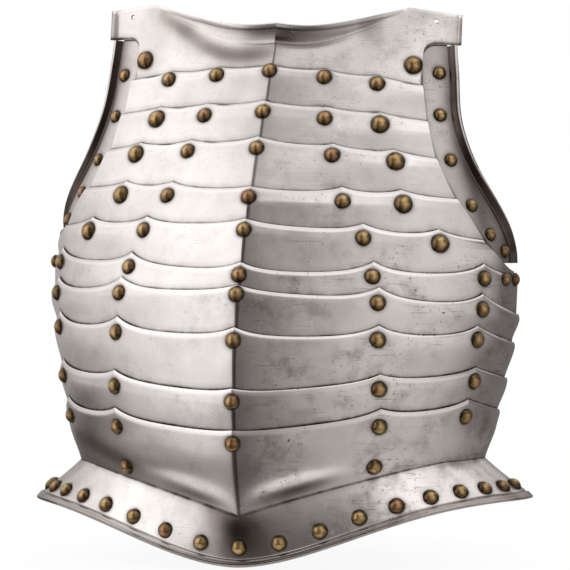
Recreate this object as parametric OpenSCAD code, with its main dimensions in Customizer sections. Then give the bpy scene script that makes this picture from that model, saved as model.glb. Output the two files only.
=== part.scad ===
// Segmented breastplate: a steel top plate, nine lames and a flanged waist plate, lapped upwards
// and joined by rivets that slide in slots, with a swinging gusset at each armhole.
// The origin is the middle of the wearer's waist, level with the side edges of the plates.
// The ridge faces -Y, +X is the wearer's left and +Z is up.

/* [Plates] */
// Thickness of the steel
plate_t = 1.5; // [1.2:0.1:1.8]
// Clear gap between two lapped plates
lap_gap = 1; // [0.9:0.05:1.2]
// How far a plate reaches below the rivets of the row under it
lap_below = 4.3; // [4:0.1:4.8]
// Travel of the lowest three rows of rivets in their slots
slide = 2.2; // [1:0.1:2.2]
// Travel of the upper six rows, which end beside the gussets
chest_slide = 0.8; // [0.5:0.1:0.8]
// Travel of the row below the shortest lame
short_slide = 1.2; // [0.6:0.1:1.2]

/* [Body shape] */
// Height of the lowest cross section
section_low = -40; // [-42:1:-38]
// Height from one cross section to the next
section_step = 50; // [49:0.5:52]
// Ridge in front of the side edges, at each cross section from the bottom up
ridge_out = [99.5, 112, 115, 106, 90, 64.5, 37, 13]; // [10:0.5:130]
// Half width between the side edges, at each cross section from the bottom up
half_wide = [132.5, 144.5, 155.5, 160.5, 159, 141, 127.5, 122]; // [120:0.5:180]
// Sharpness of the ridge at each cross section, from 0 for round to 1 for a pointed arch
keel = [0.9, 0.6, 0.43, 0.43, 0.66, 0.52, 0.43, 0.5]; // [0.3:0.01:1]
// Lean of the chest rows towards the wearer's left, in degrees
chest_skew = -1.7; // [-2:0.1:2]
// Lean of the waist towards the wearer's left, in degrees
waist_skew = 1.6; // [-2:0.1:2]

/* [Rows of rivets] */
// Height of the rivet on the ridge in each row, from the top row down
row_z = [264, 235, 210, 177, 155.5, 126, 113, 83.5, 44.5, 17.5]; // [0:0.5:290]
// Rise of each row from the ridge out to the side edge
row_rise = [-12, -10, -8.5, -1, -5.5, 4, -4.5, 4.5, 14, 16]; // [-14:0.5:18]
// Distance of the inner rivets of each row from the middle
row_in = [37.5, 41.5, 49.5, 60, 75, 83, 87, 88, 88.5, 87.5]; // [30:0.5:100]
// Distance of the outer rivets of each row from the middle
row_out = [72.5, 77, 89, 97.5, 121, 147, 145.5, 143, 139.5, 133]; // [60:0.5:150]
// Steel above the rivets of each row, between the points of its edge
row_lift = [3, 6, 4.5, 5, 4, 2, 2, 2, 4.5, 6]; // [1:0.5:8]
// Height of the points of each row's edge
row_cusp = [3, 2.5, 3.5, 4.5, 5.5, 8, 8.5, 8, 5.5, 6]; // [1:0.5:10]
// Steel above the rivet on the ridge in each row
row_peak = [4.5, 8.5, 8.5, 7.5, 7.5, 8.5, 6, 8.5, 8.5, 8.5]; // [4:0.5:10]
// Width over which a point of an edge dies away
cusp_wide = 13; // [10:0.5:16]
// Dip of the lower rows' edges at the side edge
side_dip = 5; // [0:0.5:6]

/* [Neck and shoulders] */
// Height of the shoulder points beside the neck
neck_peak_z = 312; // [308:0.5:316]
// Distance of the shoulder points from the middle
neck_peak_x = 90; // [84:0.5:94]
// Height of the neck edge on the ridge
neck_low_z = 297; // [294:0.5:300]
// Height of the turned neck band on the ridge
neck_band = 12; // [8:0.5:14]
// How far the neck band leans forward at its edge
neck_lean = 5; // [2:0.5:8]
// Height of the shoulder at its outer corner
shoulder_z = 308; // [304:0.5:310]
// Height of the lower corner of the shoulder
shoulder_low_z = 287; // [285:0.5:290]
// Turned lip on the outer edge of the shoulder
shoulder_lip = 4; // [2:0.5:6]
// Radius of the strap hole in each shoulder
strap_hole_r = 1.6; // [1.4:0.1:2]
// Distance of the strap holes from the middle
strap_hole_x = 108.5; // [104:0.5:112]
// Height of the strap holes
strap_hole_z = 303; // [301:0.5:304]

/* [Armholes and gussets] */
// Height where the armhole starts at the side edge
arm_low_z = 136; // [134:1:138]
// Height above which the armhole runs straight up
arm_high_z = 235; // [225:1:245]
// Share of the half width that the armhole takes from the lames
arm_share = 0.2; // [0.19:0.005:0.21]
// Share of the half width between the gusset's lip and the side edge
gusset_share = 0.08; // [0.07:0.005:0.09]
// How much of that share is lost again at the shoulder
gusset_spread = 0.02; // [0.01:0.005:0.03]
// How far a gusset reaches under the lames
gusset_lap = 11; // [10:0.5:13]
// Width of the straight part of the turned lip along a gusset
gusset_lip = 7; // [5:0.5:8]
// Height of a gusset's lower end
gusset_low_z = 141; // [140:0.5:142]
// Height of a gusset's upper end
gusset_high_z = 286.5; // [284:0.5:286.5]
// Distance of a gusset's pivot from the middle
pivot_x = 95.5; // [92:0.5:98]
// Height of a gusset's pivot
pivot_z = 272; // [269:0.5:274]
// Radius of the cut-out over the gusset where the shoulder meets the armhole
corner_r = 8; // [5:0.5:10]

/* [Waist flange] */
// Drop of the waist crease from the side edges to the ridge
crease_drop = 31; // [26:0.5:34]
// Half width over which the crease drops
crease_half = 125; // [115:1:135]
// Half width of the flange's rim
rim_half = 174; // [170:0.5:180]
// Distance of the rim in front of the side edges, on the ridge
rim_out = 100; // [97:0.5:106]
// Height of the rim at its side ends
rim_side_z = -24.5; // [-28:0.5:-22]
// Drop of the rim from the side ends to the ridge
rim_drop = 38.5; // [34:0.5:44]
// Small lip turned out along the rim
rim_lip = 2.5; // [1.5:0.1:3.5]
// Distance of the lining rivets above the rim
lining_up = 10; // [8:0.5:12]
// Angle between two lining rivets, seen from above
lining_step = 9.5; // [9:0.1:9.5]
// Distance of the lone rivets on the waist plate from the middle
waist_rivet_x = 85; // [75:1:95]

/* [Rivets] */
// Radius of the small rivet heads
head_r = 5.5; // [4.5:0.1:6]
// Radius of the large rivet heads
big_head_r = 6.5; // [5.5:0.1:7]
// Radius of the rivet heads on the gussets and at the ends of row 6
side_head_r = 4.7; // [4:0.1:5]
// Height of a rivet head as a share of its radius
head_dome = 0.68; // [0.5:0.01:0.8]
// Radius of a rivet's shank
shank_r = 1.9; // [1.6:0.1:2]
// Side clearance of a shank in its slot
slot_play = 0.45; // [0.4:0.05:0.6]
// Radius of the washers
washer_r = 3.6; // [3.3:0.1:3.8]
// Thickness of the washers
washer_t = 1; // [0.8:0.1:1.4]
// Play between a washer and the sliding plate
washer_play = 1.1; // [1:0.1:1.4]

/* [Hidden] */
ROWS = 10;
SIDES = [-1, 1];
lap_step = plate_t + lap_gap;
// Offset of each plate's lower edge from the body surface, in laps. The sixth lame is too short to
// come back down to the surface, so the seventh stands over it and the eighth takes up the rest.
low_laps = [0, 0, 0, 0, 0, 0, 1, 0.5, 0, 0, 0];
low_off = [for (laps = low_laps) laps * lap_step];
top_off = [for (n = [0 : 10]) n == 0 ? 0 : low_off[n - 1] + lap_step];
skew_from_z = 10;
skew_to_z = 127;
EPS = 0.01;
// The gusset's lip leaves the side edge here, and spreads again over this height at the shoulder
lip_low_z = arm_low_z + 12;
SPREAD_OVER = 35;
// Curl of the lip: its inner radius over the plate, its turn, and the way its straight part runs
LIP_R = 2.5;
LIP_TURN = 70;
LIP_OUT = 0.55;
LIP_ASIDE = 0.45;
// Steel of a gusset inside its pivot, and the height over which it widens to that
PIVOT_MARGIN = 16;
WIDEN_OVER = 20;
// How far a hole's cutter stands out on each side of the steel
CUT_REACH = 5;
// Spread inner end of a shank: its height, how far it is wider than the shank, and its gap to what
// it holds
SPREAD_H = 0.7;
SPREAD_R = 0.8;
SPREAD_GAP = 0.1;
PART_COLUMNS = [7, 8, 6];
HALF_COLUMNS = PART_COLUMNS[0] + PART_COLUMNS[1] + PART_COLUMNS[2];
LINING_SIDE = 9;
// Places of a gusset's own rivets: height, and share of the way from the armhole's edge to the lip
gusset_rivet_z = [265, 236, 205.5, 179, 160, 149];
gusset_rivet_share = [0.6, 0.54, 0.47, 0.32, 0.32, 0.55];
LEVEL_RIVETS = 3;
// Two more rivets at each end of row 6, as shares of the way from its outer rivet to the side edge
side_rivet_share = [0.48, 0.82];
SIDE_ROW = 5;
SHORT_ROW = 6;
RIVET_SEAT = 0.2;
HOLE_PLAY = 0.08;
WASHER_SEAT = 0.85;
PIVOT_PLAY = 0.3;
STEEL = [0.78, 0.77, 0.75];
BRASS = [0.55, 0.46, 0.29];
IRON = [0.42, 0.4, 0.38];

// Value at height z of a list that holds one value per cross section, on a smooth curve
function along(list, z) =
    let (x = (z - section_low) / section_step,
         last = len(list) - 2,
         i = max(0, min(last, floor(x))),
         f = x - i,
         b = list[i],
         c = list[i + 1],
         a = i > 0 ? list[i - 1] : 2 * b - c,
         d = i < last ? list[i + 2] : 2 * c - b)
    b + f * (c - a) / 2 + f * f * (a - 2.5 * b + 2 * c - d / 2) + f * f * f * ((d - a) / 2 + 1.5 * (b - c));

function smooth(x) = let (t = max(0, min(1, x))) t * t * (3 - 2 * t);
function mix(a, b, f) = a + (b - a) * f;

// Body surface: u runs from -1 at one side edge over 0 on the ridge to 1 at the other, z is height
function body(u, z) =
    let (s = sin(90 * min(1, abs(u))), k = along(keel, z))
    [sign(u) * along(half_wide, z) * s,
     -along(ridge_out, z) * sqrt(max(0, 1 - k * s - (1 - k) * s * s)),
     z];

// The rows lean a little, so the whole surface is sheared upwards along X
function skew(z) =
    tan(mix(waist_skew, chest_skew, smooth((z - skew_from_z) / (skew_to_z - skew_from_z))));
function lean(p) = [p.x, p.y, p.z + p.x * skew(p.z)];
function leaned(u, z) = lean(body(u, z));

// Outward normal of the leaned surface, and a point that stands off it by a distance
function body_normal(u, z) =
    let (n = cross(leaned(min(1, u + EPS), z) - leaned(max(-1, u - EPS), z),
                   leaned(u, z + 1) - leaned(u, z - 1)))
    n / norm(n);
function skin(u, z, off) = leaned(u, z) + off * body_normal(u, z);
function u_at(x, z) = asin(min(1, x / along(half_wide, z))) / 90;

// Rows: the line of the rivets, the upper edge of the plate that they hold, and the lower edge of
// the plate behind it
function rivet_line(row, u) = row_z[row] + row_rise[row] * sin(90 * abs(u));
function inner_u(row) = u_at(row_in[row], row_z[row]);
function outer_u(row) = u_at(row_out[row], row_z[row]);
function reach(row, u, at) = norm(body(abs(u), row_z[row]) - body(at, row_z[row]));
function dip(row, u) = row <= SIDE_ROW ? 0
    : side_dip * smooth((abs(u) - outer_u(row)) / (1.02 - outer_u(row)));
function upper_edge(row, u) =
    rivet_line(row, u) + row_lift[row] - dip(row, u)
    + (row_peak[row] - row_lift[row]) * exp(-reach(row, u, 0) / cusp_wide)
    + row_cusp[row] * exp(-reach(row, u, inner_u(row)) / cusp_wide)
    + row_cusp[row] * exp(-reach(row, u, outer_u(row)) / cusp_wide);
function lower_edge(row, u) = rivet_line(row, u) - lap_below - dip(row, u);
function row_slide(row) = row <= SIDE_ROW ? chest_slide : row == SHORT_ROW ? short_slide : slide;
function lap_zone(row, u) = upper_edge(row, u) - lower_edge(row, u) + row_slide(row);
// Direction in which a row slides: up along the ridge
function row_way(row) = let (t = body(0, row_z[row] + 1) - body(0, row_z[row] - 1)) t / norm(t);

// Armhole: share of the half width left to the lames and to the gussets at a height
function arm_curve(z, from, to) = 1 - pow(1 - max(0, min(1, (z - from) / (to - from))), 2);
function arm_u(z) = asin(1 - arm_share * arm_curve(z, arm_low_z, arm_high_z)) / 90;
function gusset_u(z) =
    asin(1 - gusset_share * smooth((z - lip_low_z) / (arm_high_z - lip_low_z))
           + gusset_spread * smooth((z - arm_high_z) / SPREAD_OVER)) / 90;

// Columns of a plate: steps that gather at the points of the edge and end at u_end
function ease(f) = (1 - cos(180 * f)) / 2;
function column_u(row, j, u_end) =
    let (a = PART_COLUMNS[0], b = a + PART_COLUMNS[1], n = abs(j),
         u = n <= a ? mix(0, inner_u(row), ease(n / a))
           : n <= b ? mix(inner_u(row), outer_u(row), ease((n - a) / (b - a)))
           : mix(outer_u(row), u_end, ease((n - b) / (HALF_COLUMNS - b))))
    sign(j) * u;
COLUMNS = [for (j = [-HALF_COLUMNS : HALF_COLUMNS]) j];

// Closed shell between two grids of points with the same rows and columns. Rows run downwards and
// columns towards +X, as seen from outside.
module shell(front, back) {
    rows = len(front);
    cols = len(front[0]);
    count = rows * cols;
    function at(r, c) = r * cols + c;
    function quad(a, b, c, d) = [[a, b, c], [a, c, d]];
    faces = concat(
        [for (r = [0 : rows - 2], c = [0 : cols - 2])
            each quad(at(r, c), at(r, c + 1), at(r + 1, c + 1), at(r + 1, c))],
        [for (r = [0 : rows - 2], c = [0 : cols - 2])
            each quad(count + at(r, c), count + at(r + 1, c),
                      count + at(r + 1, c + 1), count + at(r, c + 1))],
        [for (c = [0 : cols - 2])
            each quad(count + at(0, c), count + at(0, c + 1), at(0, c + 1), at(0, c))],
        [for (c = [0 : cols - 2])
            each quad(at(rows - 1, c), at(rows - 1, c + 1),
                      count + at(rows - 1, c + 1), count + at(rows - 1, c))],
        [for (r = [0 : rows - 2])
            each quad(count + at(r, 0), at(r, 0), at(r + 1, 0), count + at(r + 1, 0))],
        [for (r = [0 : rows - 2])
            each quad(at(r, cols - 1), count + at(r, cols - 1),
                      count + at(r + 1, cols - 1), at(r + 1, cols - 1))]);
    polyhedron([for (sheet = [front, back], row = sheet) each row], faces);
}

// Turns a child that stands along +Z to stand along a direction
module point_along(dir) {
    rotate([0, acos(dir.z / norm(dir)), atan2(dir.y, dir.x)]) children();
}

// Places a child on the body surface at an offset, standing outwards
module on_skin(u, z, off) {
    translate(skin(u, z, off)) point_along(body_normal(u, z)) children();
}

// One rivet: a domed head above its seat, and a shank spread at its inner end. On the ridge the
// head's foot reaches down over both slopes of the ridge.
module rivet(r, grip, ridge = 0) {
    h = r * head_dome;
    ball = (r * r + h * h) / (2 * h);
    foot = r * ridge;
    difference() {
        union() {
            intersection() {
                translate([0, 0, h - ball]) sphere(ball, $fn = 48);
                cylinder(r = r, h = h + 1, $fn = 48);
            }
            if (ridge > 0) translate([0, 0, -foot]) cylinder(r = r, h = foot + EPS, $fn = 48);
        }
        if (ridge > 0) rotate([90, 0, 90]) linear_extrude(4 * r, center = true)
            polygon([[-2 * r, -2 * foot], [0, 0], [2 * r, -2 * foot],
                     [2 * r, -3 * foot], [-2 * r, -3 * foot]]);
    }
    translate([0, 0, -grip - SPREAD_H - SPREAD_GAP]) {
        cylinder(r = shank_r, h = grip + SPREAD_H + 2 * SPREAD_GAP, $fn = 24);
        cylinder(r = shank_r + SPREAD_R, h = SPREAD_H, $fn = 24);
    }
}

// One washer, its outer face at a depth below the rivet's seat
module washer(depth) {
    translate([0, 0, -depth - washer_t]) difference() {
        cylinder(r = washer_r, h = washer_t, $fn = 36);
        translate([0, 0, -1]) cylinder(r = shank_r + HOLE_PLAY, h = washer_t + 2, $fn = 24);
    }
}

// Twelve-sided cut through one plate, long enough along +Y for the travel given
module slot_cut(play, travel) {
    r = shank_r + play;
    outline = [for (i = [0 : 11])
        let (a = 30 * i + 15) [r * sin(a), r * cos(a) + (cos(a) > 0 ? travel : 0)]];
    translate([0, 0, -lap_step]) linear_extrude(2 * lap_step + plate_t) polygon(outline);
}

// Turn about a normal that brings a cutter's +Y to a direction of travel
function slot_turn(n, way) = atan2(-(way * [n.x * n.z, n.y * n.z, n.z * n.z - 1]), way * [-n.y, n.x, 0]);
module slot_on_skin(u, z, off, play, travel, way) {
    n = body_normal(u, z);
    translate(skin(u, z, off)) point_along(n) rotate([0, 0, slot_turn(n, way)]) slot_cut(play, travel);
}
module hole_on_skin(u, z, off) {
    on_skin(u, z, off) slot_cut(HOLE_PLAY, 0);
}

// Rivet places of a row as pairs of u and z
function row_us(row) =
    let (out = outer_u(row), in = inner_u(row))
    concat([-out, -in, 0, in, out],
           row == SIDE_ROW ? [for (side = SIDES, share = side_rivet_share) side * mix(out, 1, share)] : []);
function row_places(row) = [for (u = row_us(row)) [u, rivet_line(row, u)]];
function row_seat(row) = top_off[row + 1] + plate_t + RIVET_SEAT;
function ridge_slope(z) = along(ridge_out, z) * along(keel, z) / (2 * along(half_wide, z));

// Depth from a rivet's seat to the outer face of its washer, for a sliding and for a fixed rivet
function row_grip(row) = row_seat(row) - low_off[row] + washer_play;
fixed_grip = plate_t + RIVET_SEAT + WASHER_SEAT;

// Half the least height of the slope between a lame's laps
LEAST_SLOPE = 0.5;
// Heights of a lame's grid lines at u: edge, both ends of the slope between its laps, lower edge
function lame_levels(n, u) =
    let (top = upper_edge(n - 1, u), low = lower_edge(n, u),
         a = top - lap_zone(n - 1, u), b = low + lap_zone(n, u),
         mid = (a + b) / 2,
         from = max(a, mid + LEAST_SLOPE), to = min(b, mid - LEAST_SLOPE))
    [top, mix(top, from, 0.5), from, mid, to, low];
LAME_BLEND = [1, 1, 1, 0.5, 0, 0];

module lame_shell(n) {
    function spot(level, j, off) =
        let (z_end = lame_levels(n, outer_u(n - 1))[level],
             u = column_u(n - 1, j, arm_u(z_end)))
        skin(u, lame_levels(n, u)[level], mix(low_off[n], top_off[n], LAME_BLEND[level]) + off);
    shell([for (i = [0 : 5]) [for (j = COLUMNS) spot(i, j, plate_t)]],
          [for (i = [0 : 5]) [for (j = COLUMNS) spot(i, j, 0)]]);
}

// Holes for a row's own rivets, and the slots that the next row's rivets slide in
module rivet_holes(row) {
    for (p = row_places(row)) hole_on_skin(p[0], p[1], top_off[row + 1]);
}
module rivet_slots(row) {
    for (p = row_places(row))
        slot_on_skin(p[0], p[1], low_off[row], slot_play, row_slide(row), row_way(row));
}

module lame(n) {
    color(STEEL) difference() {
        lame_shell(n);
        rivet_holes(n - 1);
        rivet_slots(n);
    }
}

// Top plate: the neck edge runs from one shoulder point to the other, with a band turned forwards
NECK_DIP = 2;
NECK_DIP_ENDS = 0.625;
NECK_CURVE = 2.4;
function neck_edge(x) =
    let (f = min(1, abs(x) / neck_peak_x))
    mix(neck_low_z - NECK_DIP * sin(180 * min(1, f / NECK_DIP_ENDS)), neck_peak_z, pow(f, NECK_CURVE));
function shoulder_edge(x) =
    abs(x) <= neck_peak_x ? neck_edge(x)
    : mix(neck_peak_z, shoulder_z, (abs(x) - neck_peak_x) / (along(half_wide, shoulder_z) - neck_peak_x));
function band_height(x) = mix(neck_band, 1, pow(min(1, abs(x) / neck_peak_x), 2));
function band_lean(x) = neck_lean * (1 - pow(min(1, abs(x) / neck_peak_x), 3));

// Columns of the top plate as pairs of distance from the middle and lower end: over the first row's
// rivets, round the corner of the cut-out over the gusset, and out along the shoulder
arm_x = along(half_wide, row_z[0]) * (1 - arm_share);
EDGE_MARGIN = 0.5;
shoulder_x = along(half_wide, shoulder_z) - EDGE_MARGIN / 2;
CHEST_COLUMNS = 12;
top_half = concat(
    [for (i = [0 : CHEST_COLUMNS])
        let (x = i / CHEST_COLUMNS * (arm_x - EDGE_MARGIN)) [x, lower_edge(0, u_at(x, row_z[0]))]],
    [for (i = [0 : 3]) let (a = 180 - 30 * i)
        [arm_x + corner_r * (1 + cos(a)), shoulder_low_z - corner_r * (1 - sin(a))]],
    [for (i = [1 : 2]) [mix(arm_x + corner_r, shoulder_x, i / 2), shoulder_low_z]]);
top_columns = concat([for (i = [len(top_half) - 1 : -1 : 1]) [-top_half[i].x, top_half[i].y]], top_half);
TOP_LEVELS = 6;
// The shoulder's lip stands forwards, and its turn brings its outer face in by a share of its offset
SHOULDER_OUT = 2;
SHOULDER_TURN = 0.6;
module top_shell() {
    function spot(level, column, off) =
        let (x = abs(column.x),
             edge = shoulder_edge(x),
             z = level == 0 ? edge : mix(edge - band_height(x), column.y, (level - 1) / (TOP_LEVELS - 1)))
        skin(sign(column.x) * u_at(x, z), z, off + (level == 0 ? band_lean(x) : 0));
    function lip(level, side, off) =
        spot(level, [side * shoulder_x, shoulder_low_z], off)
        + [side * (shoulder_lip - off * SHOULDER_TURN), -SHOULDER_OUT, 0];
    function line(level, off) =
        concat([lip(level, -1, off)],
               [for (column = top_columns) spot(level, column, off)],
               [lip(level, 1, off)]);
    shell([for (i = [0 : TOP_LEVELS]) line(i, plate_t)], [for (i = [0 : TOP_LEVELS]) line(i, 0)]);
}

module top_plate() {
    color(STEEL) difference() {
        top_shell();
        for (side = SIDES) {
            on_skin(side * u_at(strap_hole_x, strap_hole_z), strap_hole_z, -CUT_REACH)
                cylinder(r = strap_hole_r, h = 2 * CUT_REACH + plate_t, $fn = 32);
            hole_on_skin(side * u_at(pivot_x, pivot_z), pivot_z, 0);
        }
        rivet_slots(0);
    }
}

// Waist plate: down to the crease on the body surface, then the flange out to the rim
CREASE_CURVE = 1.15;
RIM_CURVE = 0.9;
RIM_LEVEL_FROM = 0.98;
RIM_KEEL = 0.1;
function crease_z(u) =
    let (f = max(0, 1 - along(half_wide, 0) * sin(90 * abs(u)) / crease_half))
    -crease_drop * pow(f, CREASE_CURVE);
function rim_point(u, lip) =
    let (s = sin(90 * abs(u)),
         z = rim_side_z - rim_drop * (0.5 + 0.5 * cos(180 * min(1, pow(s, RIM_CURVE) / RIM_LEVEL_FROM))))
    [sign(u) * (rim_half + lip) * s,
     -(rim_out + lip) * sqrt(max(0, 1 - RIM_KEEL * s - (1 - RIM_KEEL) * s * s)),
     z];

// Point on the flange, f from 0 at the crease to 1 at the rim
function flange_mid(u, f) = lean(mix(body(u, crease_z(u)), rim_point(u, 0), f));
function flange_normal(u, f) =
    let (n = cross(flange_mid(min(1, u + EPS), f) - flange_mid(max(-1, u - EPS), f),
                   flange_mid(u, 0) - flange_mid(u, 1)))
    n / norm(n);
function flange_point(u, f, off) = flange_mid(u, f) + off * flange_normal(u, f);

// The waist plate stands off the body by one lap under the rivets, and comes back to it at the crease
function waist_off(u, z) =
    lap_step * smooth((z - crease_z(u)) / (upper_edge(ROWS - 1, u) - lap_zone(ROWS - 1, u) - crease_z(u)));
WAIST_LEVELS = 7;
// Shares of the flange's width with a grid line, and the drop of the rim's lip
FLANGE_SHARES = [0.06, 0.5, 1];
LIP_DROP = 0.4;
LIP_ROUND = 1.2;
module waist_shell() {
    last = ROWS - 1;
    function spot(level, j, off) =
        let (u = column_u(last, j, 1),
             top = upper_edge(last, u),
             flat = top - lap_zone(last, u),
             z = level == 0 ? top : mix(flat, crease_z(u), (level - 1) / (WAIST_LEVELS - 1)))
        skin(u, z, off + waist_off(u, z));
    function flange(f, j, off) = flange_point(column_u(last, j, 1), f, off);
    function lip(j, off) =
        let (u = column_u(last, j, 1), p = rim_point(u, rim_lip))
        lean([p.x, p.y, p.z - LIP_ROUND * (plate_t - off) - LIP_DROP]);
    function sheet(off) =
        concat([for (i = [0 : WAIST_LEVELS]) [for (j = COLUMNS) spot(i, j, off)]],
               [for (f = FLANGE_SHARES) [for (j = COLUMNS) flange(f, j, off)]],
               [[for (j = COLUMNS) lip(j, off)]]);
    shell(sheet(plate_t), sheet(0));
}

function lining_u(i) = lining_step * i / 90;
function lining_share(u) =
    1 - lining_up / norm(flange_mid(u, 0) - flange_mid(u, 1));
function waist_rivet_u() = u_at(waist_rivet_x, 0);
function waist_point(u, z) = skin(u, z, waist_off(abs(u), z));

// Places a child on the waist plate at its lone rivet, standing outwards
module on_waist(side, off) {
    u = side * waist_rivet_u();
    across = waist_point(u + EPS, 0) - waist_point(u - EPS, 0);
    n = cross(across, waist_point(u, 1) - waist_point(u, -1));
    translate(waist_point(u, 0) + off * n / norm(n)) point_along(n) children();
}

// Places a child on the flange, standing outwards
module on_flange(i, off) {
    u = lining_u(i);
    f = lining_share(u);
    translate(flange_point(u, f, off)) point_along(flange_normal(u, f)) children();
}

module waist_plate() {
    color(STEEL) difference() {
        waist_shell();
        rivet_holes(ROWS - 1);
        for (side = SIDES) on_waist(side, 0) slot_cut(HOLE_PLAY, 0);
        for (i = [-LINING_SIDE : LINING_SIDE]) on_flange(i, 0) slot_cut(HOLE_PLAY, 0);
    }
}

// Gusset: a band behind the lames' ends with a lip turned out along the armhole
GUSSET_LEVELS = 14;
gusset_off = -lap_step;
module gusset_shell(side) {
    function spot(level, k, off) =
        let (z = mix(gusset_high_z, gusset_low_z, level / GUSSET_LEVELS),
             wide = along(half_wide, z),
             pivot_lap = along(half_wide, pivot_z) * (1 - arm_share) - pivot_x + PIVOT_MARGIN,
             lap = mix(gusset_lap, pivot_lap, smooth((z - pivot_z + WIDEN_OVER) / WIDEN_OVER)),
             u_in = u_at(wide * sin(90 * arm_u(z)) - lap, z),
             u_out = gusset_u(z),
             u = mix(u_in, u_out, min(1, k / 4)))
        k <= 4 ? skin(side * u, z, gusset_off + off)
        : skin(side * u_out, z, gusset_off + off) + lip(side * u_out, z, k - 4, off);
    function lip(u, z, step, off) =
        let (n = body_normal(u, z), t = cross([0, 0, 1], n), across = side * t / norm(t),
             turn = LIP_TURN * step / 2)
        (LIP_R - off) * (across * sin(turn) + n * (1 - cos(turn)))
        + (step == 2 ? gusset_lip * (n * LIP_OUT + across * LIP_ASIDE) : [0, 0, 0]);
    levels = [for (i = [0 : GUSSET_LEVELS]) i];
    steps = side > 0 ? [0, 1, 2, 3, 4, 5, 6] : [6, 5, 4, 3, 2, 1, 0];
    shell([for (i = levels) [for (k = steps) spot(i, k, plate_t)]],
          [for (i = levels) [for (k = steps) spot(i, k, 0)]]);
}

// A gusset's upper rivets stand level at both sides, so they give up the lean of the rows
function gusset_rivet_place(i, side) =
    let (level_z = gusset_rivet_z[i],
         x = side * along(half_wide, level_z) * (1 - arm_share),
         z = i < LEVEL_RIVETS ? level_z - x * skew(level_z) : level_z)
    [mix(arm_u(z), gusset_u(z), gusset_rivet_share[i]), z];

module gusset(side) {
    color(STEEL) difference() {
        gusset_shell(side);
        on_skin(side * u_at(pivot_x, pivot_z), pivot_z, gusset_off - CUT_REACH)
            cylinder(r = shank_r + PIVOT_PLAY, h = 2 * CUT_REACH + plate_t, $fn = 32);
        for (i = [0 : len(gusset_rivet_z) - 1]) {
            p = gusset_rivet_place(i, side);
            hole_on_skin(side * p[0], p[1], gusset_off);
        }
    }
}

module row_rivets(n) {
    places = row_places(n - 1);
    color(BRASS) for (i = [0 : len(places) - 1]) {
        big = (i == 0 || i == 4) && n >= 2 && n <= 5;
        r = i > 4 ? side_head_r : big ? big_head_r : head_r;
        on_skin(places[i][0], places[i][1], row_seat(n - 1))
            rivet(r, row_grip(n - 1) + washer_t, i == 2 ? ridge_slope(row_z[n - 1]) : 0);
    }
}

module row_washers(n) {
    color(IRON) for (p = row_places(n - 1)) on_skin(p[0], p[1], row_seat(n - 1)) washer(row_grip(n - 1));
}

module waist_rivets() {
    color(BRASS) for (side = SIDES) on_waist(side, plate_t + RIVET_SEAT) rivet(head_r, fixed_grip + washer_t);
}
module waist_washers() {
    color(IRON) for (side = SIDES) on_waist(side, plate_t + RIVET_SEAT) washer(fixed_grip);
}

// The pivot rivet holds the gusset loosely against the inside of the top plate
PIVOT_LOOSE = 0.4;
pivot_grip = lap_step + plate_t + RIVET_SEAT + PIVOT_LOOSE;
module gusset_pivot(side) {
    color(BRASS) on_skin(side * u_at(pivot_x, pivot_z), pivot_z, plate_t + RIVET_SEAT)
        rivet(big_head_r, pivot_grip + washer_t);
}
module pivot_washer(side) {
    color(IRON) on_skin(side * u_at(pivot_x, pivot_z), pivot_z, plate_t + RIVET_SEAT) washer(pivot_grip);
}

module gusset_rivets(side) {
    color(BRASS) for (i = [0 : len(gusset_rivet_z) - 1]) {
        p = gusset_rivet_place(i, side);
        on_skin(side * p[0], p[1], gusset_off + plate_t + RIVET_SEAT)
            rivet(side_head_r, fixed_grip + washer_t);
    }
}
module gusset_washers(side) {
    color(IRON) for (i = [0 : len(gusset_rivet_z) - 1]) {
        p = gusset_rivet_place(i, side);
        on_skin(side * p[0], p[1], gusset_off + plate_t + RIVET_SEAT) washer(fixed_grip);
    }
}

module flange_rivets() {
    color(BRASS) for (i = [-LINING_SIDE : LINING_SIDE])
        on_flange(i, plate_t + RIVET_SEAT) rivet(head_r, fixed_grip + washer_t);
}
module flange_washers() {
    color(IRON) for (i = [-LINING_SIDE : LINING_SIDE]) on_flange(i, plate_t + RIVET_SEAT) washer(fixed_grip);
}

top_plate();
lame(1);  // lame_1
lame(2);  // lame_2
lame(3);  // lame_3
lame(4);  // lame_4
lame(5);  // lame_5
lame(6);  // lame_6
lame(7);  // lame_7
lame(8);  // lame_8
lame(9);  // lame_9
waist_plate();
gusset(1);  // gusset_left
gusset(-1);  // gusset_right
row_rivets(1);  // rivets_row_1
row_rivets(2);  // rivets_row_2
row_rivets(3);  // rivets_row_3
row_rivets(4);  // rivets_row_4
row_rivets(5);  // rivets_row_5
row_rivets(6);  // rivets_row_6
row_rivets(7);  // rivets_row_7
row_rivets(8);  // rivets_row_8
row_rivets(9);  // rivets_row_9
row_rivets(10);  // rivets_row_10
row_washers(1);  // washers_row_1
row_washers(2);  // washers_row_2
row_washers(3);  // washers_row_3
row_washers(4);  // washers_row_4
row_washers(5);  // washers_row_5
row_washers(6);  // washers_row_6
row_washers(7);  // washers_row_7
row_washers(8);  // washers_row_8
row_washers(9);  // washers_row_9
row_washers(10);  // washers_row_10
waist_rivets();
waist_washers();
gusset_pivot(1);  // gusset_pivot_left
gusset_pivot(-1);  // gusset_pivot_right
pivot_washer(1);  // pivot_washer_left
pivot_washer(-1);  // pivot_washer_right
gusset_rivets(1);  // gusset_rivets_left
gusset_rivets(-1);  // gusset_rivets_right
gusset_washers(1);  // gusset_washers_left
gusset_washers(-1);  // gusset_washers_right
flange_rivets();
flange_washers();
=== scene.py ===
import math
import bpy
import numpy as np
from mathutils import Matrix, Vector


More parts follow.
